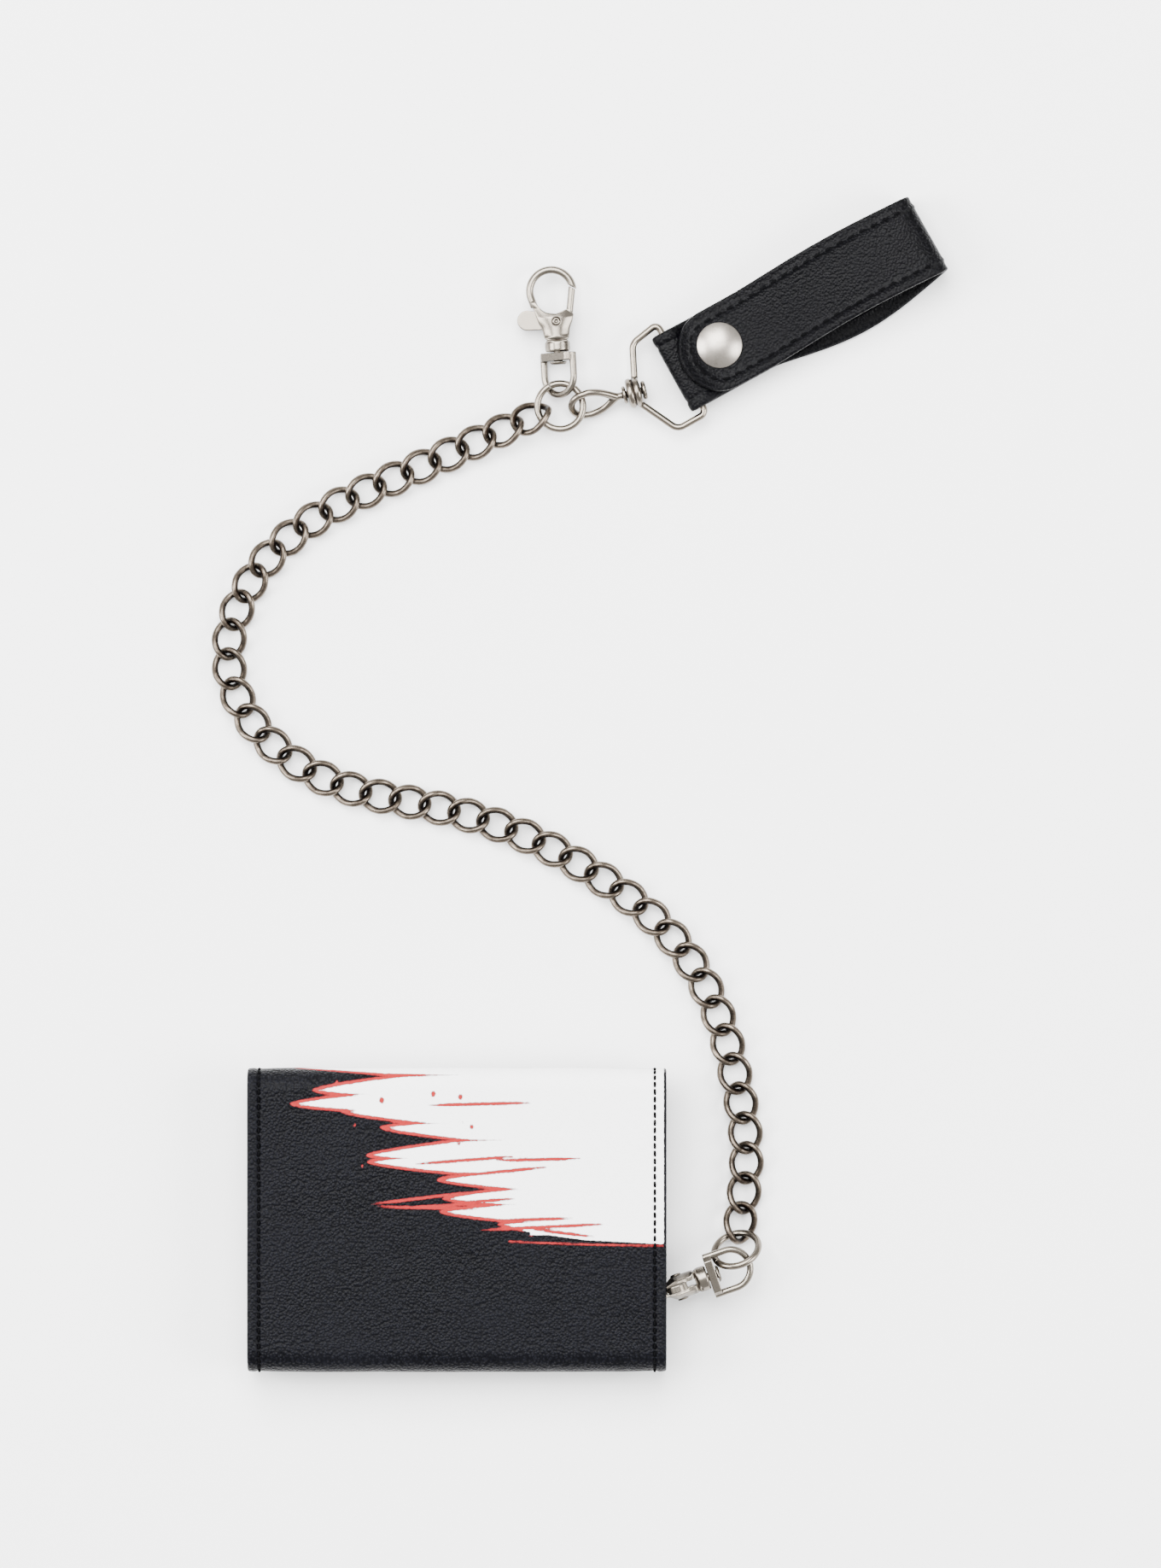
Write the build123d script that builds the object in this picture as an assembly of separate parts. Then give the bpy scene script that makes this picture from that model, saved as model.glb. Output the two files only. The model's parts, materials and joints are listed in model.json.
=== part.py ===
from build123d import *
import math
import os

# A chain wallet: a trifold wallet that lies closed with its centre panel up, a curb chain with a
# trigger clasp at each end, and a belt strap that wraps a wire loop and closes with a snap.
# Millimetres. +Z is up, +Y runs from the wallet towards the belt strap, and the origin is the
# middle of the face that the closed wallet rests on.

# ---- driving dimensions: wallet ----
PANEL_WIDTH = 114.3
PANEL_HEIGHT = 82.5
STACK = 19.6            # thickness of the closed wallet
SHELL = 1.2             # outer leather
LINING = 0.6
CARD_LEATHER = 0.7      # one layer of a card pocket
CORNER = 2.5
INNER_SHELL_Z = 8.4     # underside of the inner flap's leather in the closed stack
FOLD_GAP = 0.15         # clearance beside a fold line
SNAP_X = 32.0
SNAP_Y = 29.0
SNAP_CAP_R = 6.25       # line 20 snap cap
SNAP_DOME_R = 11.0      # of the domed cap on the belt strap
EYELET = Vector(47.5, -23.0, 9.6)
EYELET_R = 2.7
WINDOW = (-42.0, 26.0, -26.0, 15.0)     # the ID window's limits in X and Y
WINDOW_RIM = (-50.0, 34.0, -33.0, 22.0)
OUTER_FLAP_END = 38.0
INNER_FLAP_END = -37.0

# ---- driving dimensions: trigger clasps ----
HOOK_WIRE = 1.05        # radius of the hook's wire
HOOK_CENTRE = Vector(-0.9, 16.6)
HOOK_R = 5.9
BODY_HALF = 3.3         # half the body's thickness
SLOT_HALF = 1.15        # half the slot that the trigger turns in
PIVOT = Vector(0, 8.2)
PIVOT_R = 0.8
GATE_REACH = 10.25      # from the pivot to the gate's end face
GATE_TILT = 31.0        # slope of that face, so that the gate clears the hook's tip
BAR_TOP = -0.25         # top of the bail's bar, below the collar
BAR_DEPTH = 2.2
LEG_LOW = -6.6          # where the bail's legs run into its bow
LOWER_AZIMUTH = 19.0    # direction that the lower clasp points away from the eyelet
LOWER_DROP = -0.017     # its fall over its length
LOWER_REACH = 22.2      # from the eyelet to its collar
LOWER_BAIL_HALF = 5.4
LOWER_BAIL_TURN = -97.5
UPPER_COLLAR = Vector(27.5, 237.2, 4.35)
UPPER_LEAN = 3.1
UPPER_BAIL_HALF = 5.2
UPPER_BAIL_TURN = -40.0

# ---- driving dimensions: chain, rings, teardrop and coil loop ----
LINK_WIRE = 1.8
LINK_LENGTH = 12.16
LINK_WIDTH = 9.76
LINK_TWIST = -42.0      # degrees that a link's end plane turns about its length
LINK_SLOPE = -28.0      # degrees that a link's side climbs at its middle
LINK_COUNT = 43
CHAIN_GROUPS = 19
CHAIN_Z = 2.2
RING_R = 6.25           # to the middle of the wire
WIRE = 1.9              # rings, bails, teardrop and coil loop
RING_SPLIT = 3.0        # degrees of a ring that its butt gap takes
UPPER_RING_GAP = 118    # where each ring's butt gap is, in degrees about it
LOWER_RING_GAP = 160
TEAR_CROSSING = Vector(43.9, 224.9, 4.4)
TEAR_ANGLE = 14.0
TEAR_TURN = 44.5
TEAR_R = 3.85
TEAR_LENGTH = 13.0
COIL_R = 3.2
COIL_AT = 4.6           # from the teardrop's crossing to the middle of the coil
COIL_HALF = 0.93        # from the coil's middle to each of its two turns

# ---- driving dimensions: belt strap ----
STRAP_WIDTH = 23.0
STRAP = 2.0
STRAP_AT = Vector(58.7, 230.7, 0.0)     # middle of the folded end
STRAP_ANGLE = 29.0
STRAP_HINGE = 73.7      # from the folded end to the line that the front strip opens about
STRAP_SNAP = Vector(15.3, 0.8, 0.0)
RETURN_END = 27.0       # where the strip that wraps the wire loop stops
FRONT_Z = 7.0           # middle of the front strip where it lies on the snap
ARCH_Z = 12.0           # and where it arches over the belt
TONGUE_TIP = 3.7
LEG_U = 3.25            # the coil loop's leg inside the strap's fold
LEG_Z = 4.4

# The chain's route from the upper ring down to the lower ring, on the surface.
CHAIN_ROUTE = [
    (24.0, 220.9), (8.5, 214.0), (-14.0, 204.0), (-36.0, 193.5), (-51.0, 182.0), (-60.0, 168.0),
    (-63.0, 152.5), (-58.0, 138.0), (-46.5, 126.0), (-31.0, 118.0), (-8.0, 113.0), (16.0, 105.8),
    (38.0, 94.0), (57.0, 79.0), (70.0, 59.5), (76.5, 37.5), (79.3, 18.0), (78.2, 4.5), (76.8, -5.3),
]

os.makedirs("parts", exist_ok=True)


def save(name, shape):
    export_step(shape, f"parts/{name}.step")


def plate(x_low, x_high, y_low, y_high, z_low, z_high, corner=0.0):
    """A flat plate between the given limits, with rounded corners in plan if corner is given."""
    width = x_high - x_low
    height = y_high - y_low
    outline = RectangleRounded(width, height, corner) if corner else Rectangle(width, height)
    centre = Pos((x_low + x_high) / 2, (y_low + y_high) / 2, z_low)
    return extrude(centre * outline, z_high - z_low)


def disc(x, y, z_low, z_high, radius):
    return Pos(x, y, z_low) * Cylinder(radius, z_high - z_low, align=(Align.CENTER, Align.CENTER, Align.MIN))


def tube(x, y, z_low, z_high, outer, inner):
    return disc(x, y, z_low, z_high, outer) - disc(x, y, z_low, z_high, inner)


def rod(start, end, radius):
    """A round rod between two points."""
    run = end - start
    return extrude(Plane(origin=start, z_dir=run) * Circle(radius), run.length)


def rounded_run(points, fraction=0.45):
    """Edges through the points; each inner corner is an arc as large as its two runs allow."""
    edges = []
    start = points[0]
    for before, corner, after in zip(points, points[1:], points[2:]):
        into = (corner - before).normalized()
        out = (after - corner).normalized()
        setback = fraction * min((corner - before).length, (after - corner).length)
        edges.append(Edge.make_line(start, corner - into * setback))
        edges.append(Edge.make_tangent_arc(corner - into * setback, into, corner + out * setback))
        start = corner + out * setback
    edges.append(Edge.make_line(start, points[-1]))
    return edges


def wire_solid(edges, radius):
    """Round wire along edges that meet smoothly."""
    return Part() + [sweep(Plane(origin=e @ 0, z_dir=e % 0) * Circle(radius), path=e) for e in edges]


def arc_about(centre, across, along, radius, start, end):
    """An arc of a circle spanned by two unit vectors, between two angles in degrees."""
    frame = Plane(origin=centre, x_dir=across, z_dir=across.cross(along))
    return frame.from_local_coords(Edge.make_circle(radius, start_angle=start, end_angle=end))


# ---- wallet ----

HALF_W = PANEL_WIDTH / 2
EDGE_Y = PANEL_HEIGHT / 2
FOLD_Y = EDGE_Y - SHELL / 2             # fold lines run along the middle of the leather
PANEL_Y = FOLD_Y - SHELL / 2 - FOLD_GAP
INNER_FOLD_Z = INNER_SHELL_Z + SHELL / 2
CLASP_ROOM = plate(41.0, 70.0, -34.0, -12.0, 1.9, STACK - SHELL - LINING - 0.1)


def fold_knuckle(side, z):
    """The rounded edge of a strip of leather at a fold line."""
    start = Vector(-HALF_W, side * FOLD_Y, z)
    return rod(start, start + Vector(PANEL_WIDTH, 0, 0), SHELL / 2)


def card_pockets(z, step, count, reach, tops):
    """Stacked pocket layers, cut back where the clasp sits; each layer is a separate piece."""
    layers = []
    for number, top in zip(range(count), tops):
        low = z + min(step, 0) + number * step
        layer = plate(-HALF_W + reach, HALF_W - reach, -EDGE_Y + 4, top, low, low + CARD_LEATHER, 1.5)
        layers.append(layer - CLASP_ROOM)
    return Compound(children=[piece.solid() for piece in layers])


def make_centre_panel():
    top = STACK
    shell = plate(-HALF_W, HALF_W, -PANEL_Y, EDGE_Y, top - SHELL, top, CORNER)
    spine = plate(-HALF_W, HALF_W, FOLD_Y - SHELL / 2, EDGE_Y,
                  INNER_FOLD_Z + SHELL / 2 + FOLD_GAP, top - SHELL)
    lining_z = top - SHELL - LINING
    lining = plate(-HALF_W + 1.2, HALF_W - 1.2, -PANEL_Y + 0.5, FOLD_Y - SHELL / 2, lining_z,
                   top - SHELL, CORNER)
    divider_z = lining_z - LINING
    divider = plate(-HALF_W + 3, HALF_W - 3, -EDGE_Y + 4, EDGE_Y - 5, divider_z, lining_z, 2)
    save("centre_panel_shell", shell)
    save("top_fold_spine", spine)
    save("centre_panel_lining", lining)
    save("bill_divider", divider - CLASP_ROOM)
    save("centre_card_pockets", card_pockets(divider_z, -CARD_LEATHER, 4, 2.5, (30, 21, 12, 3)))


def make_bottom_spine():
    low = SHELL / 2
    high = STACK - SHELL / 2
    strip = plate(-HALF_W, HALF_W, -EDGE_Y, -EDGE_Y + SHELL, low, high)
    save("bottom_fold_spine", strip + fold_knuckle(-1, low) + fold_knuckle(-1, high))


def make_outer_flap():
    snaps = [(-SNAP_X, SNAP_Y), (SNAP_X, SNAP_Y)]
    inside = SHELL + LINING
    shell = plate(-HALF_W, HALF_W, -PANEL_Y, OUTER_FLAP_END, 0, SHELL, CORNER)
    lining = plate(-HALF_W + 1.2, HALF_W - 1.2, -PANEL_Y + 0.5, OUTER_FLAP_END - 1, SHELL, inside, CORNER)
    caps = []
    sockets = []
    for x, y in snaps:
        shell -= disc(x, y, 0, SHELL, SNAP_CAP_R + 0.05)
        lining -= disc(x, y, SHELL, inside, 1.6)
        cap = disc(x, y, 0.05, SHELL, SNAP_CAP_R)
        cap = chamfer(cap.faces().sort_by(Axis.Z)[0].edges(), 0.35)
        caps.append(cap + disc(x, y, SHELL, inside + 0.6, 1.6))
        socket = tube(x, y, inside, inside + 2.8, 5.0, 2.35) + tube(x, y, inside, inside + 0.6, 5.0, 1.6)
        sockets.append(socket)
    save("outer_flap_shell", shell)
    save("outer_flap_lining", lining)
    save("outer_flap_card_pockets", card_pockets(inside, CARD_LEATHER, 3, 2.5, (20, 11, 2)))
    save("flap_snap_caps", Compound(children=[piece.solid() for piece in caps]))
    save("flap_snap_sockets", Compound(children=[piece.solid() for piece in sockets]))


def make_inner_flap():
    snaps = [(-SNAP_X, SNAP_Y), (SNAP_X, SNAP_Y)]
    edge = HALF_W - 0.7
    low = INNER_SHELL_Z
    mid = low + SHELL
    high = mid + LINING
    knuckle = rod(Vector(-edge, FOLD_Y, INNER_FOLD_Z), Vector(edge, FOLD_Y, INNER_FOLD_Z), SHELL / 2)
    shell = plate(-edge, edge, INNER_FLAP_END, FOLD_Y, low, mid) + knuckle
    lining = plate(-edge + 0.8, edge - 0.8, INNER_FLAP_END + 0.7, PANEL_Y - 0.4, mid, high, CORNER)
    hole = disc(EYELET.X, EYELET.Y, low, high, EYELET_R + 0.5)
    studs = []
    posts = []
    for x, y in snaps:
        shell -= disc(x, y, low, mid, 1.5)
        lining -= disc(x, y, mid, high, 1.5)
        stud = disc(x, y, low - 0.8, low, 4.2) + disc(x, y, 3.2, low - 0.8, 1.9)
        studs.append(stud)
        posts.append(disc(x, y, low, high, 1.5) + disc(x, y, high, high + 0.7, 4.5))
    frame = plate(*WINDOW_RIM, high, high + 0.8, 3) - plate(*WINDOW, high, high + 0.8, 3)
    window = plate(*WINDOW, high + 0.1, high + 0.5, 3)
    eyelet = tube(EYELET.X, EYELET.Y, low - 0.6, high + 0.9, EYELET_R + 0.5, EYELET_R)
    eyelet += tube(EYELET.X, EYELET.Y, low - 0.6, low, 5.0, EYELET_R)
    eyelet += tube(EYELET.X, EYELET.Y, high + 0.6, high + 0.9, 3.9, EYELET_R)
    save("inner_flap_shell", shell - hole)
    save("inner_flap_lining", lining - hole)
    save("id_window_frame", frame)
    save("id_window", window)
    save("flap_snap_studs", Compound(children=[piece.solid() for piece in studs]))
    save("flap_snap_posts", Compound(children=[piece.solid() for piece in posts]))
    save("chain_eyelet", eyelet)
    save("eyelet_washer", tube(EYELET.X, EYELET.Y, high, high + 0.6, 5.0, EYELET_R + 0.5))


# ---- trigger clasp ----
# Its own frame: origin at the bottom of the swivel collar, Y towards the hook's top, X towards the
# gate and Z out of the hook's plane.

def centred(shape, half):
    """A flat outline made into a slab that reaches half to each side of its plane."""
    return extrude(shape, half, both=True)


def beyond_gate_face(distance):
    """Everything further than distance from the pivot along the gate face's normal."""
    across = Vector(math.cos(math.radians(-GATE_TILT)), math.sin(math.radians(-GATE_TILT)))
    normal = Vector(-across.Y, across.X)
    frame = Plane(origin=PIVOT + normal * distance, x_dir=across, z_dir=(0, 0, 1))
    return extrude(frame * Pos(0, 15) * Rectangle(60, 30), 10, both=True)


def hook_body():
    cheeks = Polygon((-3.0, 2.6), (-4.7, 7.5), (-5.7, 10.8), (-6.7, 13.9), (-4.4, 13.9), (0, 11.2),
                     (3.0, 11.3), (4.9, 10.1), (4.1, 7.0), (3.0, 2.6), align=None)
    body = centred(cheeks, BODY_HALF) - Pos(-0.4, 15.4) * Cylinder(5.1, 20)
    side = Polygon((2, -BODY_HALF), (9.3, -BODY_HALF), (13.95, -1.3), (13.95, 1.3),
                   (9.3, BODY_HALF), (2, BODY_HALF), align=None)
    body &= extrude(Plane.YZ * side, 12, both=True)
    body -= Pos(0, 7.8) * Box(20, 8.4, 2 * SLOT_HALF)
    start = math.radians(198)
    left = HOOK_CENTRE + Vector(math.cos(start), math.sin(start)) * HOOK_R
    down = Vector(-math.sin(start), math.cos(start))
    bow = arc_about(HOOK_CENTRE, Vector(1, 0, 0), Vector(0, 1, 0), HOOK_R, 0, 198)
    hook = wire_solid([bow, Edge.make_line(left, left + down * 2.4)], HOOK_WIRE)
    collar = rod(Vector(0, 0, 0), Vector(0, 2.9, 0), 3.45)
    collar = chamfer(collar.edges(), 0.35)
    collar += rod(Vector(0, 2.7, 0), Vector(0, 3.6, 0), 3.0)
    hook &= beyond_gate_face(GATE_REACH + 0.2) + Pos(-10, 14) * Box(20, 40, 20)
    body = body + hook + collar
    body -= rod(Vector(0, -1, 0), Vector(0, 2.4, 0), 1.2)
    return body - Pos(PIVOT) * Cylinder(PIVOT_R, 20)


def trigger():
    tab = Pos(-7.9, 8.9) * Circle(2.75)
    web = Polygon((-7.9, 11.65), (-7.9, 6.15), (0.6, 6.1), (4.2, 10.6), (3.2, 11.6), (0, 10.4),
                  align=None)
    lever = centred(tab + web + Pos(PIVOT) * Circle(2.2), 0.98)
    lever += rod(Vector(3.75, 10.4, 0), Vector(4.98, 18.6, 0), 0.95) - beyond_gate_face(GATE_REACH)
    lever -= Pos(PIVOT) * Cylinder(PIVOT_R + 0.15, 20)
    return lever - Pos(PIVOT.X, PIVOT.Y, 0.78) * Cylinder(1.85, 0.64)


def pivot_rivet():
    pin = Pos(PIVOT) * Cylinder(PIVOT_R, 2 * BODY_HALF)
    for side in (-1, 1):
        pin += Pos(PIVOT.X, PIVOT.Y, side * (BODY_HALF + 0.15)) * Cylinder(1.5, 0.3)
    return pin


def trigger_spring():
    """A flat torsion spring: half turns that grow outwards around the rivet."""
    growth = 0.22
    radius = PIVOT_R + 0.25
    centre = Vector(PIVOT.X, PIVOT.Y, 0.8)
    edges = []
    for side in (1, -1, 1):
        start = 90 - 90 * side
        edges.append(arc_about(centre, Vector(1, 0, 0), Vector(0, 1, 0), radius, start, start + 180))
        centre -= Vector(side * growth, 0, 0)
        radius += growth
    return wire_solid(edges, 0.15)


def swivel_post():
    head_top = BAR_TOP - BAR_DEPTH - 0.25
    shaft = rod(Vector(0, 2.4, 0), Vector(0, head_top, 0), 1.2)
    head = rod(Vector(0, head_top, 0), Vector(0, head_top - 0.8, 0), 2.35)
    return shaft + chamfer(head.faces().sort_by(Axis.Y)[0].edges(), 0.5)


def bail(half_width):
    """The stirrup that turns on the swivel post: a flat bar and a U of wire."""
    bar_mid = BAR_TOP - BAR_DEPTH / 2
    bar = Pos(0, bar_mid, 0) * Box(2 * half_width, BAR_DEPTH, 4.6)
    bar = chamfer(bar.edges().filter_by(Axis.Y), 1.0)
    right = Vector(half_width, LEG_LOW)
    left = Vector(-half_width, LEG_LOW)
    reach = Vector(0, BAR_TOP - 0.1 - LEG_LOW)
    bow = arc_about(Vector(0, LEG_LOW), Vector(1, 0, 0), Vector(0, 1, 0), half_width, 180, 360)
    legs = [Edge.make_line(left + reach, left), Edge.make_line(right, right + reach)]
    u_wire = wire_solid([legs[0], bow, legs[1]], WIRE / 2)
    return bar + u_wire - Pos(0, bar_mid, 0) * Rot(90, 0, 0) * Cylinder(1.35, 6)


def save_clasp(name, place, half_width, turn):
    """A whole clasp; turn is the angle of its bail about the swivel, in degrees."""
    save(f"{name}_hook", place * hook_body())
    save(f"{name}_trigger", place * trigger())
    save(f"{name}_rivet", place * pivot_rivet())
    save(f"{name}_spring", place * trigger_spring())
    save(f"{name}_swivel_post", place * swivel_post())
    save(f"{name}_bail", place * Rot(0, turn, 0) * bail(half_width))


def clasp_places():
    """Where each clasp's own frame is: the lower one stands on edge through the eyelet."""
    azimuth = math.radians(LOWER_AZIMUTH)
    outward = Vector(math.cos(azimuth), math.sin(azimuth), LOWER_DROP).normalized()
    collar = EYELET + outward * LOWER_REACH
    sideways = outward.cross(Vector(0, 0, 1)).normalized()
    lower = Plane(origin=collar, x_dir=outward.cross(sideways), z_dir=-sideways)
    lean = math.radians(UPPER_LEAN)
    along = Vector(-math.sin(lean), math.cos(lean), 0)
    upper = Plane(origin=UPPER_COLLAR, x_dir=along.cross(Vector(0, 0, 1)), z_dir=(0, 0, 1))
    return lower.location, upper.location


# ---- rings and chain ----

def upper_ring_frame():
    slope = math.radians(3.9)
    tip = math.radians(0.9)
    across = Vector(math.cos(slope), 0, math.sin(slope))
    along = Vector(0, math.cos(tip), math.sin(tip))
    along = (along - across * across.dot(along)).normalized()
    return across, along, Vector(28.15, 222.25, 4.2)


def lower_ring_frame():
    yaw = math.radians(20)
    tilt = math.radians(49)
    across = Vector(math.cos(yaw), math.sin(yaw), 0)
    level = Vector(math.sin(yaw), -math.cos(yaw), 0)
    along = level * math.cos(tilt) + Vector(0, 0, math.sin(tilt))
    return across, along, Vector(76.3, -8.4, 7.3)


def split_ring(frame, gap):
    """A ring of wire whose ends butt at the angle gap."""
    across, along, centre = frame
    return wire_solid([arc_about(centre, across, along, RING_R, gap, gap + 360 - RING_SPLIT)], WIRE / 2)


def make_rings():
    save("upper_ring", split_ring(upper_ring_frame(), UPPER_RING_GAP))
    save("lower_ring", split_ring(lower_ring_frame(), LOWER_RING_GAP))


def biarc_joint(start, start_dir, end, end_dir):
    """Where two arcs meet that leave start and reach end along the given directions."""
    span = end - start
    both = start_dir + end_dir
    a = 2 * (1 - start_dir.dot(end_dir))
    b = 2 * span.dot(both)
    reach = (math.sqrt(b * b + 4 * a * span.dot(span)) - b) / (2 * a)
    return (start + end + (start_dir - end_dir) * reach) * 0.5


def chain_link():
    """One twisted curb link along X. Each quarter is two arcs, so every face is part of a torus."""
    twist = math.radians(LINK_TWIST)
    slope = math.radians(LINK_SLOPE)
    end = Vector((LINK_LENGTH - LINK_WIRE) / 2, 0, 0)
    end_dir = Vector(0, math.cos(twist), math.sin(twist))
    side = Vector(0, (LINK_WIDTH - LINK_WIRE) / 2, 0)
    side_dir = Vector(-math.cos(slope), 0, -math.sin(slope))
    joint = biarc_joint(end, end_dir, side, side_dir)
    bend = Edge.make_tangent_arc(end, end_dir, joint)
    flank = Edge.make_tangent_arc(joint, bend % 1, side)
    quarter = wire_solid([bend, flank], LINK_WIRE / 2)
    half = quarter + quarter.rotate(Axis.Y, 180)
    return (half + half.rotate(Axis.X, 180)).solid()


def chain_joints():
    """The points where link meets link, evenly spaced along the route."""
    route = Spline(*[(x, y, 0) for x, y in CHAIN_ROUTE])
    pitch = route.length / LINK_COUNT
    print("chain pitch", round(pitch, 3), "length", round(route.length, 1))
    joints = []
    for number in range(LINK_COUNT + 1):
        joint = route.position_at(number * pitch, position_mode=PositionMode.LENGTH)
        joints.append(joint + Vector(0, 0, joint_height(number)))
    return joints


def joint_height(number):
    """The chain lies flat, and rises a little to meet the ring at each end."""
    from_upper = max(0, 3 - number)
    from_lower = max(0, number - (LINK_COUNT - 2))
    return CHAIN_Z + 0.6 * from_upper + 0.55 * from_lower


def link_roll(number):
    """How far a link turns about its own length, so that the end links sit well in their rings."""
    return 9.5 * max(0, 3 - number) - 8.0 * max(0, number - (LINK_COUNT - 3))


def make_chain():
    joints = chain_joints()
    master = chain_link()
    links = []
    for number in range(LINK_COUNT):
        middle = (joints[number] + joints[number + 1]) * 0.5
        along = (joints[number + 1] - joints[number]).normalized()
        upward = along.cross(Vector(0, 0, 1).cross(along))
        place = Plane(origin=middle, x_dir=along, z_dir=upward).location
        links.append(place * Rot(link_roll(number), 0, 0) * master)
    bounds = [round(n * LINK_COUNT / CHAIN_GROUPS) for n in range(CHAIN_GROUPS + 1)]
    for number, (first, after) in enumerate(zip(bounds, bounds[1:])):
        save(f"chain_links_{number + 1:02d}", Compound(children=links[first:after]))
        start = joints[first]
        print(f"chain_links_{number + 1:02d}", after - first, "links, starts at",
              [round(start.X, 2), round(start.Y, 2), round(start.Z, 2)])


# ---- teardrop link and coil loop ----

def tear_place():
    along = Vector(1, 0, 0).rotate(Axis.Z, TEAR_ANGLE)
    return Plane(origin=TEAR_CROSSING, x_dir=along, z_dir=(0, 0, 1)).location


def make_teardrop():
    """A wire bent back on itself: a loop, a shank through the coil, and a flat head."""
    middle = TEAR_R - TEAR_LENGTH
    lean = math.degrees(math.acos(TEAR_R / -middle))
    bow = arc_about(Vector(middle, 0, 0), Vector(1, 0, 0), Vector(0, 1, 0), TEAR_R, lean, 360 - lean)
    upper = Edge.make_line(Vector(0, 0, 0), bow @ 0)
    lower = Edge.make_line(bow @ 1, Vector(0, 0, 0))
    loop = wire_solid([upper, bow, lower], WIRE / 2)
    shank_end = COIL_AT + COIL_HALF + WIRE / 2 + 0.35
    shank = rod(Vector(-0.6, 0, 0), Vector(shank_end + 0.2, 0, 0), WIRE / 2)
    head = rod(Vector(shank_end, 0, 0), Vector(shank_end + 1.2, 0, 0), 2.6)
    head = chamfer(head.edges(), 0.35)
    stop = rod(Vector(COIL_AT - COIL_HALF - WIRE / 2 - 1.3, 0, 0),
               Vector(COIL_AT - COIL_HALF - WIRE / 2 - 0.3, 0, 0), 2.45)
    stop = chamfer(stop.edges(), 0.3)
    knot = Sphere(WIRE / 2)
    save("teardrop_link", tear_place() * Rot(TEAR_TURN, 0, 0) * (loop + knot + shank + head + stop))


def strap_point(u, v, z):
    """A point of the strap's own frame: u along it, v across it and z up."""
    return STRAP_AT + Vector(u, v, z).rotate(Axis.Z, STRAP_ANGLE)


def make_coil_loop():
    place = tear_place()
    axis = Vector(1, 0, 0).rotate(Axis.Z, TEAR_ANGLE)
    side = Vector(0, 1, 0).rotate(Axis.Z, TEAR_ANGLE)
    middle = TEAR_CROSSING + axis * COIL_AT
    turns = Part()
    for offset in (-COIL_HALF, COIL_HALF):
        turns += place * Pos(COIL_AT + offset, 0, 0) * Rot(0, 90, 0) * Torus(COIL_R, WIRE / 2)
    right_turn = middle + axis * COIL_HALF
    path = [
        right_turn + side * COIL_R,
        Vector(47.9, 239.4, LEG_Z),
        strap_point(LEG_U, 14.3, LEG_Z),
        strap_point(LEG_U, -13.6, LEG_Z),
        Vector(60.3, 216.0, LEG_Z),
        right_turn - side * COIL_R,
    ]
    save("coil_loop", turns + wire_solid(rounded_run(path, 0.2), WIRE / 2))


# ---- belt strap ----

def strap_frame():
    return Plane(origin=STRAP_AT, x_dir=Vector(1, 0, 0).rotate(Axis.Z, STRAP_ANGLE), z_dir=(0, 0, 1)).location


def ribbon(edges):
    """A flat strip of leather along edges in the XZ plane of the strap's own frame."""
    strips = []
    for e in edges:
        section = Plane(origin=e @ 0, x_dir=(0, 1, 0), z_dir=e % 0) * Rectangle(STRAP_WIDTH, STRAP)
        strips.append(sweep(section, path=e))
    return Part() + strips


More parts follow.
